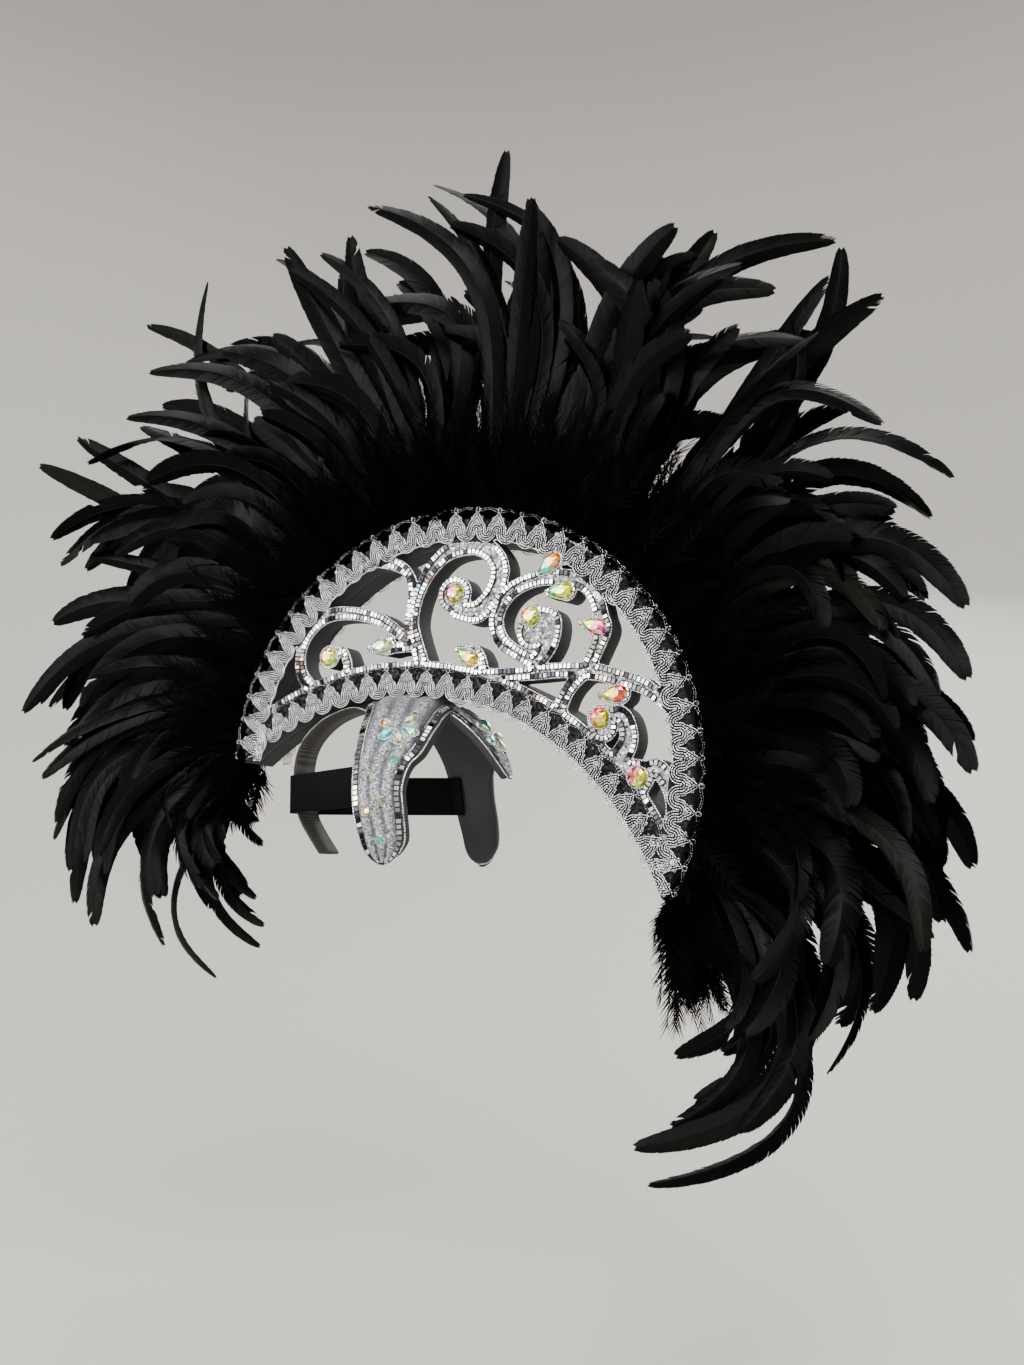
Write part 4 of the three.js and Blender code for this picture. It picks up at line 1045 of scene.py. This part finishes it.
def lace_lines(repeats):
    """Cords of the lace, each a run of repeats and heights with its lift and its share of thickness."""
    cords = [(serpentine(repeats, offset), 0.35 * (i % 2), 1.0) for i, offset in enumerate(BUNDLE)]
    fine = np.arange(0, repeats + 0.001, 1 / 8)
    for level, rise in LOOSE_THREADS:
        loose = np.column_stack([fine, level + rise * np.abs(np.sin(np.pi * (fine + 0.25))) ** 2])
        cords.append((loose, 0.7, 0.2))
    side = np.linspace(-1, 1, 9)
    turn = np.linspace(0, 2 * np.pi, 8)
    nest = np.radians(np.arange(0, 181, 30))
    bend = np.column_stack([-np.cos(nest), -np.sin(nest)])
    inner = np.vstack([(-2.6, 6.5), (-1.4, 2.8), bend, (1.4, 2.8), (2.6, 6.5)])
    for i in range(repeats):
        cords.append((inner / (LACE_PITCH, 1) + (i + 0.25, FOOT_LEVEL), 0.5, 1.0))
        middle = i + 0.75
        for half, drop in PEAK_ARCHES:
            arch = PEAK_LEVEL - drop - (PEAK_LEVEL - PEAK_FOOT - drop) * np.abs(side) ** 1.15
            cords.append((np.column_stack([middle + side * half / LACE_PITCH, arch]), 1.3, 0.8))
        cords.append((np.array([(middle, PEAK_FOOT), (middle, PEAK_LEVEL - 2)]), 1.1, 0.6))
        for across, level, reach in PICOTS:
            loop = np.column_stack([across + 0.7 * reach * np.sin(turn), level - reach * np.cos(turn)])
            cords.append((loop * (1 / LACE_PITCH, 1) + (middle, 0), 1.0, 0.7))
    return cords


def lace(name, node, face, centre, inner, ends, tall):
    """Metallic lace along an arc, sewn to a face of the boards."""
    span = ends[1] - ends[0]
    repeats = round(math.radians(span) * (inner + LACE_WIDTH / 2) / LACE_PITCH)
    side = 1 if face > 0 else -1
    runs = []
    girths = []
    for line, lift, thick in lace_lines(repeats):
        degrees = ends[0] + span * np.clip(line[:, 0], 0, repeats) / repeats
        flat = on_arc(inner + line[:, 1] * tall, degrees, centre)
        depth = np.full(len(line), face + side * (LACE_LIFT + lift))
        runs.append(crest(np.column_stack([flat, depth])))
        girths.append(np.full(len(line), thick))
    base = guide(name, runs, girth=np.concatenate(girths))
    made = make(name, base, CORDS, CORD, Thickness=LACE_CORD * MM, Sides=4)
    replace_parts(piece(name, made), node)


for label, face in (("near", BOARD_FACE), ("far", -BOARD_FACE)):
    for arc, run in LACES.items():
        lace(f"{arc}_cord_lace_{label}", f"{arc}_lace_{label}", face, *run)


# Cut stones

def stone_outline(size, sides):
    """Outline of a round stone, or of a drop with its tip along +X."""
    turn = np.arange(sides) * 2 * np.pi / sides
    if isinstance(size, tuple):
        bulge = np.sin(turn) * np.sin(turn / 2) / (4 / math.sqrt(27))
        return np.column_stack([np.cos(turn) * size[0], bulge * size[1]]) / 2
    return np.column_stack([np.cos(turn), np.sin(turn)]) * size / 2


def stone_mesh(name, size, height, coats, place, seed):
    """A faceted stone: girdle, two rows of crown facets and a table, each facet in its own tint and painted
    light.
    """
    chance = np.random.default_rng(seed)
    sides = 12 if height > SMALL_HEIGHT else 8
    outline = stone_outline(size, sides)
    turned = (outline + np.roll(outline, -1, axis=0)) / 2
    rings = [(outline, 1.0, 0.0), (outline, 1.0, 0.25), (turned, 0.86, 0.66), (outline, 0.5, 1.0)]
    points = [(*(ring * scale)[i], level * height) for ring, scale, level in rings for i in range(sides)]
    points += [(0, 0, 0), (0, 0, height)]
    faces = []
    for i in range(sides):
        j = (i + 1) % sides
        low, girdle, crown, table = (i + k * sides for k in range(4))
        low_next, girdle_next, crown_next, table_next = (j + k * sides for k in range(4))
        faces += [
            (low, low_next, girdle_next, girdle), (girdle, girdle_next, crown),
            (girdle_next, crown_next, crown), (crown, table_next, table), (crown, crown_next, table_next),
            (low_next, low, 4 * sides), (table, table_next, 4 * sides + 1),
        ]
    made = bpy.data.meshes.new(name)
    made.from_pydata([place(Vector(p)) for p in points], [], faces)
    made.materials.append(GLASS)
    one, other = (np.array(linear(code)) for code in coats)
    colours = []
    for face in made.polygons:
        flat = np.mean([points[i][:2] for i in face.vertices], axis=0)
        lean = COAT_SPLIT * (flat[0] - 0.3 * flat[1]) / (height + 2)
        split = 0.5 + 0.5 * np.tanh(lean) + chance.normal(0, COAT_STRAY)
        mixed = one + (other - one) * np.clip(split, 0, 1)
        # Painted light and shade: each facet made darker or brighter at random, and some given a painted
        # highlight flash.
        mixed = np.clip(mixed * chance.uniform(*PAINTED_FACET_LIGHT), 0, 1)
        if chance.random() < PAINTED_FLASH_SHARE:
            mixed = np.clip(mixed + PAINTED_FLASH, 0, 1)
        colours.append((*mixed[:3], 1.0))
    made.attributes.new("coat", "FLOAT_COLOR", "FACE").data.foreach_set("color", np.array(colours).ravel())
    return made, [place(Vector((*(1.04 * p), 0.4))) for p in outline]


collars = []


def set_stone(node, size, height, coats, place, seed):
    """A cut stone in the place of its node. Its collar is kept for the settings."""
    stone, collar = stone_mesh(node + "_cut", size, height, coats, place, seed)
    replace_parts(piece(node + "_cut", stone), node)
    collars.append(np.array([*collar, collar[0]]))


def on_board(x, z, turn):
    """Where a point of a stone on the near board goes, in metres."""
    def place(point):
        u = x * PERCENT + point.x * math.cos(turn) - point.y * math.sin(turn)
        w = z * PERCENT + point.x * math.sin(turn) + point.y * math.cos(turn)
        return crest([(u, w, BOARD_FACE + STONE_LIFT + point.z)])[0]

    return place


for index, (node, x, z, tip, *coats) in enumerate(CREST_STONES):
    size = ROUND_SIZE if tip is None else DROP_SIZE
    set_stone(node, size, STONE_HEIGHT, coats, on_board(x, z, math.radians(tip or 0)), 20 + index)


# The padded cap

def cap_point(x, angle, off):
    """A point on the cap: place fore and aft, angle down from the crown, and height off the head."""
    x, angle, off = np.broadcast_arrays(np.asarray(x, float), angle, off)
    share = (x + HEAD_BACK) / (HEAD_LENGTH + off)
    size = np.sqrt(np.clip(1 - share**2, 0, None))
    y = (HEAD_WIDTH + off) * size * np.sin(angle)
    z = HEAD_CENTRE + (HEAD_HEIGHT + off) * size * np.cos(angle)
    return np.stack([x, y, z], axis=-1)


def lobe_point(along, y, off):
    """A point on the front lobe: way along it as a share, place across it, and height off the head."""
    along, y, off = np.broadcast_arrays(np.asarray(along, float), y, off)
    length = HEAD_LENGTH + off
    start = np.arcsin((LOBE_ROOT + HEAD_BACK) / length)
    turn = start + (LOBE_TURN - start) * along
    left = np.clip(np.cos(turn) ** 2 - (y / (HEAD_WIDTH + off)) ** 2, 0, None)
    up = HEAD_CENTRE + (HEAD_HEIGHT + off) * np.sqrt(left)
    return np.stack([length * np.sin(turn) - HEAD_BACK, y, up], axis=-1)


def head_out(points):
    """The way out of the head at each point."""
    return unit((points - HEAD_MIDDLE) / (HEAD_LENGTH**2, HEAD_WIDTH**2, HEAD_HEIGHT**2))


def under_crest(points):
    """Presses what would reach into the boards or their lace down to the saddle arc."""
    x, y, z = (points - (CREST_PLACE[0], 0, CREST_PLACE[1])).reshape(-1, 3).T
    u = x * math.cos(CREST_LEAN) - z * math.sin(CREST_LEAN) - SADDLE_SHIFT
    w = x * math.sin(CREST_LEAN) + z * math.cos(CREST_LEAN) + SADDLE_DROP
    reach = np.hypot(u, w)
    limit = np.where(np.abs(y) < BOARD_FACE + 0.6, SADDLE_RADIUS - 0.6, SADDLE_RADIUS - 4.8)
    limit = np.where(np.abs(y) < BOARD_FACE + 4, limit, np.inf)
    share = np.minimum(1, limit / reach)
    u, w = u * share + SADDLE_SHIFT, w * share - SADDLE_DROP
    back = crest(np.column_stack([u, w, -y])) / MM
    return back.reshape(points.shape)


def quilting(share):
    """Height of the sewn channels across a pad, from its edge at 0 to its edge at 1."""
    phase = np.clip((share - HEM_SHARE) / (1 - 2 * HEM_SHARE), 0, 1) * CHANNELS
    return np.abs(np.sin(np.pi * phase)) ** 0.55


def padded_shell(name, place, rows, stones, side):
    """A padded shell over rows along it: quilted face, foam edge and inner face, as one closed mesh."""
    shares = np.linspace(0, 1, PAD_ACROSS)
    edge = np.clip(np.minimum(shares, 1 - shares) / 0.02, 0, 1)
    ridge = quilting(shares)
    flats = np.stack([place(row, shares, LEAF_WALL + LEAF_PADDING) for row in rows])
    seats = np.zeros(flats.shape[:2])
    for centre, reach in stones:
        gap = np.linalg.norm(flats - centre, axis=2)
        seats = np.maximum(seats, np.clip((reach + 3 - gap) / 3, 0, 1))
    heights = np.maximum(ridge[None, :] * np.ones((len(rows), 1)), seats * 0.95)
    rings = []
    for row, high in zip(rows, heights):
        outer = place(row, shares, LEAF_WALL - EDGE_DROP * (1 - edge) + high * LEAF_PADDING)
        last = place(row, np.ones(2), np.array(EDGE_STEPS))
        inner = place(row, shares[::-6], np.zeros(len(shares[::-6])))
        first = place(row, np.zeros(2), np.array(EDGE_STEPS[::-1]))
        rings.append(np.vstack([outer, last, inner, first]))
    points = under_crest(np.stack(rings))
    points[:, :, 1] += side * PAD_GAP
    count = points.shape[1]
    made = bpy.data.meshes.new(name)
    made.from_pydata((points.reshape(-1, 3) * MM).tolist(), [], ring_faces(len(rows), count))
    made.materials.append(CLOTH)
    made.materials.append(FOAM)
    slots = [int(i % count >= PAD_ACROSS - 1) for i in range((len(rows) - 1) * count)] + [1, 1]
    made.polygons.foreach_set("material_index", slots)
    # The quilting height is kept for the cloth, which paints shade in the channels and highlight on the
    # ridges from it.
    level = np.zeros((len(rows), count))
    level[:, :PAD_ACROSS] = ridge[None, :]
    made.attributes.new("ridge", "FLOAT", "POINT").data.foreach_set("value", level.ravel())
    turn_out(made)
    return made


def pad_frame(at, ahead, down):
    """A stone's seat on the cap: its origin, way ahead, way up and way out."""
    ahead = unit(ahead - at)
    out = unit(np.cross(ahead, unit(down - at)))
    if out @ (at - HEAD_MIDDLE) < 0:
        out = -out
    up = np.cross(out, ahead)
    return at, ahead, up, out


def seated(seat, turn, away):
    """Where a point of a stone on a seat goes, in metres."""
    at, ahead, up, out = seat

    def place(point):
        x, y = point.x - away, point.y
        u, v = x * math.cos(turn) - y * math.sin(turn), x * math.sin(turn) + y * math.cos(turn)
        return (at + u * ahead + v * up + (point.z - STONE_SINK) * out) * MM

    return place


def set_flower(seat, angles, prefix, seed):
    """A flower of drops, their tips together on its seat."""
    for i, angle in enumerate(angles):
        place = seated(seat, math.radians(angle + 180), PETAL_AWAY)
        set_stone(f"{prefix}_petal_{i + 1}", PETAL_SIZE, SMALL_HEIGHT, PETAL_COATS[i], place, seed + i)


def side_leaf(side, prefix, seed):
    """A padded leaf over one side of the head, with its stones, tiles and edging."""
    rows = smooth(LEAF_OUTLINE, 8)

    def place(row, shares, off):
        """Points across the leaf on one row of its outline."""
        x = (row[1] + (row[2] - row[1]) * shares) * LEAF_WIDTH
        return cap_point(x, side * row[0] * LEAF_DROP, off)

    def seat(x, down):
        """A stone's seat, from its place fore and aft and its share of the way down."""
        angle = side * down * LEAF_DROP
        steps = ((0, 0), (1, 0), (0, math.radians(1)))
        return pad_frame(*[cap_point(x + dx, angle + turn, LEAF_WALL + LEAF_PADDING) for dx, turn in steps])

    flower = seat(LEAF_FLOWER[0] * LEAF_WIDTH, LEAF_FLOWER[1])
    rounds = [seat(x * LEAF_WIDTH, down) for x, down in LEAF_ROUNDS]
    seats = [(flower[0], FLOWER_REACH)] + [(spot[0], ROUND_REACH) for spot in rounds]
    pad = piece(f"{prefix}_pad", padded_shell(f"{prefix}_pad", place, rows, seats, side))
    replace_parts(pad, prefix)
    set_flower(flower, LEAF_PETALS, prefix, seed)
    for i, spot in enumerate(rounds):
        coats = PETAL_COATS[(i + 2) % len(PETAL_COATS)]
        place_round = seated(spot, 0, 0)
        set_stone(f"{prefix}_round_{i + 1}", SMALL_ROUND, SMALL_HEIGHT, coats, place_round, seed + 10 + i)
    pad_trim(prefix, place, rows[6:], side)


def pad_trim(prefix, place, rows, side):
    """A row of tiles inside the edge of a pad, between two fine bright cords."""
    def border(inset, off):
        """A line round the pad, some way in from its edge: up its front and down its back."""
        front = []
        back = []
        for row in rows:
            ends = place(row, np.array([0.0, 1.0]), np.full(2, off))
            share = min(0.5, inset / max(1.0, np.linalg.norm(ends[1] - ends[0])))
            low, high = place(row, np.array([share, 1 - share]), np.full(2, off))
            back.append(low)
            front.append(high)
        return np.array(front + back[::-1])

    line, ways = evenly(under_crest(border(PAD_TILE_INSET, LEAF_WALL + 0.4)), PAD_TILE_PITCH)
    line[:, 1] += side * PAD_GAP
    # The tint picks each tile's painted reflection or real tint.
    values = {"out": head_out(line), "along": ways, "tint": tile_reflections_and_tints(len(line), 5)}
    spots = guide("pad_tiles", [line[i:i + 1] * MM for i in range(len(line))], **values)
    tape = make("tape", spots, TILES, FOAM, Size=0.005, Reach=1.1, Height=0.0007, Chamfer=1.0, Seed=9)
    tiles = make("tiles", spots.copy(), TILES, TILE, Size=0.0039, Reach=1.2, Height=0.0013, Seed=9)
    piece(f"{prefix}_tiles", joined([tiles, tape]))
    edges = []
    for inset, off in PAD_CORDS:
        edge, _ = evenly(under_crest(border(inset, off)), PAD_CORD_STEP)
        edges.append((edge + (0, side * PAD_GAP, 0)) * MM)
    made = make(f"{prefix}_edging", guide("edging", edges), CORDS, CORD, Thickness=0.0015, Sides=6)
    piece(f"{prefix}_edging", made)


side_leaf(-1, "right_leaf", 60)
side_leaf(1, "left_leaf", 90)


def front_lobe():
    """The padded lobe over the forehead, with its flower of five drops."""
    rows = smooth(LOBE_OUTLINE, 10)

    def place(row, shares, off):
        """Points across the lobe on one row of its outline."""
        return lobe_point(row[0], (shares - 0.5) * row[1] * LOBE_WIDTH, off)

    top = LEAF_WALL + LEAF_PADDING
    seat = pad_frame(lobe_point(0.5, 0, top), lobe_point(0.52, 0, top), lobe_point(0.5, 1, top))
    shell = padded_shell("front_lobe_pad", place, rows, [(seat[0], FLOWER_REACH)], 0)
    pad = piece("front_lobe_pad", shell)
    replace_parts(pad, "front_lobe")
    set_flower(seat, LOBE_PETALS, "front_lobe", 120)
    pad_trim("front_lobe", place, rows[2:], 0)


front_lobe()
settings = make("stone_settings", guide("settings", collars), CORDS, CORD, Thickness=0.0014, Sides=5)
piece("stone_settings", settings)


# The hoop and the elastic

def lofted(name, rings, finish):
    """A closed skin over rings of one count."""
    made = bpy.data.meshes.new(name)
    made.from_pydata((np.vstack(rings) * MM).tolist(), [], ring_faces(len(rings), len(rings[0])))
    made.materials.append(finish)
    turn_out(made)
    return made


def hoop_line(step):
    """The run of the hoop on the middle plane, from the cap round behind the head."""
    head_top = cap_point(HOOP_START, 0, 0)[2]
    rows = [(HOOP_START - back * HOOP_REACH, 0, head_top - down * HOOP_DROP) for back, down in HOOP_RUN]
    return evenly(smooth(rows, 10), step)


def rear_hoop():
    """The sprung band behind the head, covered in satin, with a bright cord along both edges."""
    points, ways = hoop_line(2.5)
    half = HOOP_WIDTH / 2
    section = [
        (0, -half), (0.5, -half - 0.3), (1.0, -half), (1.12, -half / 2), (1.16, 0),
        (1.12, half / 2), (1.0, half), (0.5, half + 0.3), (0, half),
    ]
    rings = []
    edges = ([], [])
    for at, way in zip(points, ways):
        out = np.array([way[2], 0, -way[0]]) * HOOP_THICK
        rings.append(np.array([at + lift * out + (0, y, 0) for lift, y in section]))
        for edge, y in zip(edges, (-half + 1.2, half - 1.2)):
            edge.append(at + 1.15 * out + (0, y, 0))
    hoop = piece("satin_hoop", lofted("satin_hoop", rings, SATIN))
    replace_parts(hoop, "rear_hoop")
    runs = [np.array(edge) * MM for edge in edges]
    made = make("hoop_edging", guide("hoop_edging", runs), CORDS, CORD, Thickness=0.0013, Sides=6)
    piece("hoop_edging", made)


def under_leaf(x, z):
    """Where the elastic lies inside a leaf, at a place fore and aft and a height."""
    size = math.sqrt(1 - ((x + HEAD_BACK) / (HEAD_LENGTH - 0.3)) ** 2)
    angle = math.acos((z - HEAD_CENTRE) / ((HEAD_HEIGHT - 0.3) * size))
    return cap_point(x, angle, -STRAP_UNDER - STRAP_THICK)


def rear_strap():
    """The elastic: from inside one leaf straight to the hoop, round its outer face and back."""
    hoop, _ = hoop_line(4)
    behind = hoop[:, 0].min()
    leaf_back = LEAF_OUTLINE[5][1] * LEAF_WIDTH
    edges = []
    for z in (-STRAP_LEVEL - STRAP_HEIGHT, -STRAP_LEVEL):
        tucked = [under_leaf(leaf_back + past, z) for past in STRAP_TUCK]
        corner = np.array([behind - HOOP_THICK - 0.6, HOOP_WIDTH / 2 - 2, z])
        nose = np.array([behind - HOOP_THICK - 1.4, 0, z])
        half = [*tucked, corner + (7, 5.4, 0), corner]
        run = [*half, nose, *[p * (1, -1, 1) for p in half[::-1]]]
        line = smooth(np.array(run), 8)
        line[:, 2] = z
        edges.append(line)
    rings = []
    for low, top, way in zip(*edges, np.gradient(edges[0], axis=0)):
        out = unit(np.array([way[1], -way[0], 0])) * STRAP_THICK
        middle = (low + top) / 2
        rings.append(np.array([low, low + out, middle + 1.06 * out, top + out, top, middle]))
    strap = piece("elastic_strap", lofted("elastic_strap", rings, ELASTIC))
    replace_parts(strap, "rear_strap")


rear_hoop()
rear_strap()


# The feathers

def bent_line(start, chord, bow, share):
    """Points on a feather that bends more and more towards its tip."""
    bent = share**LATE_BEND * (1 - share) / LATE_PEAK
    return start + np.outer(share, chord) + np.outer(bent * bow, (chord[1], -chord[0]))


def plume(start, end, bow, side, sign, half, chance):
    """One tail feather: its centre line, and the values that its points carry."""
    chord = end - start
    fine = np.linspace(0, 1, 200)
    steps = np.diff(bent_line(start, chord, bow, fine), axis=0)
    run = np.concatenate([[0], np.cumsum(np.linalg.norm(steps, axis=1))])
    length = run[-1]
    shares, breadths = np.array(VANE).T
    at = [0.0]
    while at[-1] < 1:
        at.append(at[-1] + BARB_PITCH * np.interp(at[-1], shares, breadths) / length)
    at = np.array(at[:-1])
    scale = np.interp(at, shares, breadths)
    t = np.interp(at * length, run, fine)
    depth = sign * (QUILL_SIDE + side * (FAN_HALF_WIDTH - QUILL_SIDE) * t**1.3)
    waver = 2.0 * np.sin(t * chance.uniform(3, 7) + chance.uniform(0, 6)) * t
    flat = bent_line(start, chord, bow, t) + waver[:, None] * chance.uniform(-1, 1, 2)
    line = crest(np.column_stack([flat, depth + waver * 1.5]))
    ways = unit(np.gradient(line, axis=0))
    facing = np.array([0, -1.0 * sign, 0])
    face = unit(facing - (ways @ facing)[:, None] * ways)
    beside = np.cross(ways, face)
    turn = np.radians(chance.normal(0, 16) + chance.normal(0, 26) * t)[:, None]
    values = {"along": ways, "out": face * np.cos(turn) + beside * np.sin(turn)}
    for label in ("left", "right"):
        rough = 1 + chance.normal(0, 0.015, len(t))
        if chance.random() < 0.5:
            spot = chance.integers(len(t) // 3, len(t))
            rough[spot:spot + chance.integers(1, 3)] *= chance.uniform(0.55, 0.85)
        if chance.random() < 0.15:
            rough[-9:] *= chance.uniform(0.45, 1.0, 9)
        values[label] = half * scale * rough * MM
    values["run"] = at * length * MM
    # The tint picks the dye; its rare high values give the painted olive backlight.
    values["tint"] = np.full(len(line), chance.beta(1.1, 3.4))
    values["girth"] = 1.0 - 0.8 * at
    values["scale"] = scale
    return line, values


def feather_guide(name, feathers):
    """One guide from many feathers, each its line and its values."""
    labels = feathers[0][1]
    values = {label: np.concatenate([found[label] for _, found in feathers]) for label in labels}
    return guide(name, [line for line, _ in feathers], **values)


def sector_of(angle):
    """The sector of the fan that a feather's root is in."""
    return int(np.clip((angle - BACK_END) / (FRONT_END - BACK_END) * FAN_SECTORS, 0, FAN_SECTORS - 1))


def tail_rows(chance):
    """The main feathers of the table, and shorter ones of the same kind that fill in between them."""
    rows = []
    for row in FEATHERS:
        sign = 1 if sector_of(row[0]) % 2 == 0 else -1
        rows.append((*row, sign))
    for _ in range(FILLERS):
        root, tip, reach, bow, _, wide = FEATHERS[chance.integers(len(FEATHERS))]
        drift = chance.uniform(-4, 4)
        root = np.clip(root + drift, BACK_END + 1, FRONT_END - 1)
        share = chance.uniform(0.45, 0.93)
        tip = root + (tip - root) * share + drift + chance.normal(0, 4)
        reach = FILLER_REACH + (reach - FILLER_REACH) * share
        bow = bow + chance.normal(0, 0.06)
        side = chance.uniform(0.0, 0.95)
        wide = wide * chance.uniform(0.75, 1.2)
        rows.append((root, tip, reach, bow, side, wide, 1 if chance.random() < 0.5 else -1))
    return rows


def tail_fan():
    """The fan in nine sectors, each with its tail feathers and their shafts."""
    chance = np.random.default_rng(7)
    sectors = [[] for _ in range(FAN_SECTORS)]
    for row in tail_rows(chance):
        sectors[sector_of(row[0])].append(row)
    sizes = {"Pitch": BARB_PITCH * MM, "Overlap": 1.5, "Jitter": 0.045, "Droop": 0.0034, "Sweep": 0.014}
    for index, rows in enumerate(sectors):
        feathers = []
        for root, tip, reach, bow, side, wide, sign in rows:
            start = on_arc(CREST_RADIUS + QUILL_OUT - QUILL_SUNK, root)
            end = on_arc(CREST_RADIUS * reach, tip)
            half = wide * FEATHER_WIDTH / 2
            feathers.append(plume(start, end, bow, side, sign, half, chance))
        base = feather_guide(f"fan_{index + 1}", feathers)
        vanes = make("vanes", base, BARBS, VANE_DYE, **sizes, Seed=index + 1)
        shafts = make("shafts", base.copy(), CORDS, SHAFT, Thickness=0.0014, Sides=3)
        fan = piece(f"tail_feathers_{index + 1}", joined([vanes, shafts]))
        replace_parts(fan, f"feather_fan_{index + 1}")


def soft_plumes(name, count, length, spread, breadth, seed):
    """Soft loose plumes all along the outer arc, hanging past both tips of the crescent."""
    chance = np.random.default_rng(seed)
    steps = int(length / PLUME_STEP)
    held = 0.8 * FAN_HALF_WIDTH
    feathers = []
    middle = (BACK_END + FRONT_END) / 2
    places = np.linspace(BACK_END - 1.5, FRONT_END + 1.5, count)
    tufts = np.linspace(FRONT_END - 4, FRONT_END + 1.5, count // 12)
    for degrees in np.concatenate([places, tufts]):
        lane = chance.uniform(-1, 1)
        radial = on_arc(1, degrees)
        tangent = np.array([radial[1], -radial[0]])
        end_bias = np.clip((abs(degrees - middle) - 96) / 8, 0, 1) * np.sign(degrees)
        start = np.array([*((CREST_RADIUS + chance.uniform(0, 5)) * radial), PLUME_ROOTS * lane])
        flat = radial * (1.1 - 0.5 * abs(lane)) + tangent * (chance.normal(0, spread) + 0.9 * end_bias)
        way = unit(np.array([*flat, spread * 1.9 * lane + chance.normal(0, 0.15)]))
        reach = length * chance.uniform(0.55, 0.98) * (1 - 0.3 * abs(end_bias))
        curl = np.array([*(tangent * chance.normal(0, 0.35)), 0.3 * np.sign(lane)])
        t = np.linspace(0, 1, steps)
        grown = start + np.outer(t * reach, way) + np.outer(t**2 * reach * 0.5, curl)
        grown[:, 2] = held * np.tanh(grown[:, 2] / held)
        line = crest(grown)
        run = unit(np.gradient(line, axis=0))
        facing = chance.normal(0, 1, 3)
        out = unit(facing - (run @ facing)[:, None] * run)
        half = MM * breadth * np.interp(t, (0, 0.2, 0.6, 1), (0.5, 1.0, 0.8, 0.25))
        left, right = half * chance.uniform(0.7, 1.15, (2, steps))
        values = {"along": run, "out": out, "left": left, "right": right, "run": t * reach * MM}
        feathers.append((line, values | {"tint": np.full(steps, chance.random()), "scale": np.ones(steps)}))
    sizes = {"Pitch": 0.0036, "Overlap": 0.75, "Sweep": 0.012, "Droop": 0.003, "Taper": 0.75, "Jitter": 0.5}
    fluff = make(name, feather_guide(name, feathers), BARBS, FLUFF, **sizes, Seed=seed)
    piece(name, fluff)


tail_fan()
soft_plumes("hackle_boa", 800, BOA_LENGTH, 0.5, 12, 23)
soft_plumes("under_plumes", 560, PLUME_LENGTH, 0.2, 15, 29)


# Studio

def studio():
    """A round floor that turns up into a pale wall all the way round."""
    low, flat, sweep, top = -0.60, 1.0, 2.6, 4.6
    profile = [(flat, low)]
    for i in range(1, 25):
        turn = math.radians(90 * i / 24)
        profile.append((flat + sweep * math.sin(turn), low + sweep * (1 - math.cos(turn))))
    profile.append((flat + sweep, top))
    count = 96
    turns = [2 * math.pi * i / count for i in range(count)]
    points = [(0, 0, low)]
    for radius, z in profile:
        points += [(radius * math.cos(turn), radius * math.sin(turn), z) for turn in turns]
    faces = [(0, 1 + i, 1 + (i + 1) % count) for i in range(count)]
    for level in range(len(profile) - 1):
        first = 1 + level * count
        for i in range(count):
            j = (i + 1) % count
            faces.append((first + i, first + count + i, first + count + j, first + j))
    made = bpy.data.meshes.new("studio_floor")
    made.from_pydata(points, [], faces)
    made.materials.append(studio_paper("Background_paper_pale_grey", "#c3c0ba"))
    made.shade_smooth()
    floor = stand("studio_floor", made)


def soft_light(name, place, size, power, aim=(0, 0, 0.05)):
    """A rectangular lamp that shines towards a point."""
    lamp = bpy.data.lights.new(name, "AREA")
    lamp.shape = "RECTANGLE"
    lamp.size, lamp.size_y = size
    lamp.energy = power
    holder = stand(name, lamp)
    holder.location = place
    holder.rotation_euler = (Vector(aim) - Vector(place)).to_track_quat("-Z", "Y").to_euler()


studio()
soft_light("key_light", (1.3, -2.2, 2.1), (1.5, 1.2), 95)
soft_light("top_light", (-0.2, 0.0, 3.0), (2.4, 2.4), 105)
soft_light("left_light", (-1.35, -2.6, 0.7), (1.3, 1.3), 70)
soft_light("back_light", (0.6, 2.6, 1.6), (2.2, 1.6), 65)
world = bpy.data.worlds.new("studio_air")
world.use_nodes = True
world.node_tree.nodes["Background"].inputs["Color"].default_value = linear("#dfe2e6")
world.node_tree.nodes["Background"].inputs["Strength"].default_value = 0.42
bpy.context.scene.world = world

VIEW_TURN = math.radians(27)
VIEW_RISE = math.radians(8.1)
ahead = Vector((-math.sin(VIEW_TURN), math.cos(VIEW_TURN), 0))
look = ahead * math.cos(VIEW_RISE) + Vector((0, 0, math.sin(VIEW_RISE)))
lens = bpy.data.cameras.new("camera")
lens.lens = 36.92
lens.sensor_width = 36
camera = stand("camera", lens)
camera.location = (0.60416, -1.07452, -0.14622)
camera.rotation_euler = look.to_track_quat("-Z", "Y").to_euler()
bpy.context.scene.camera = camera
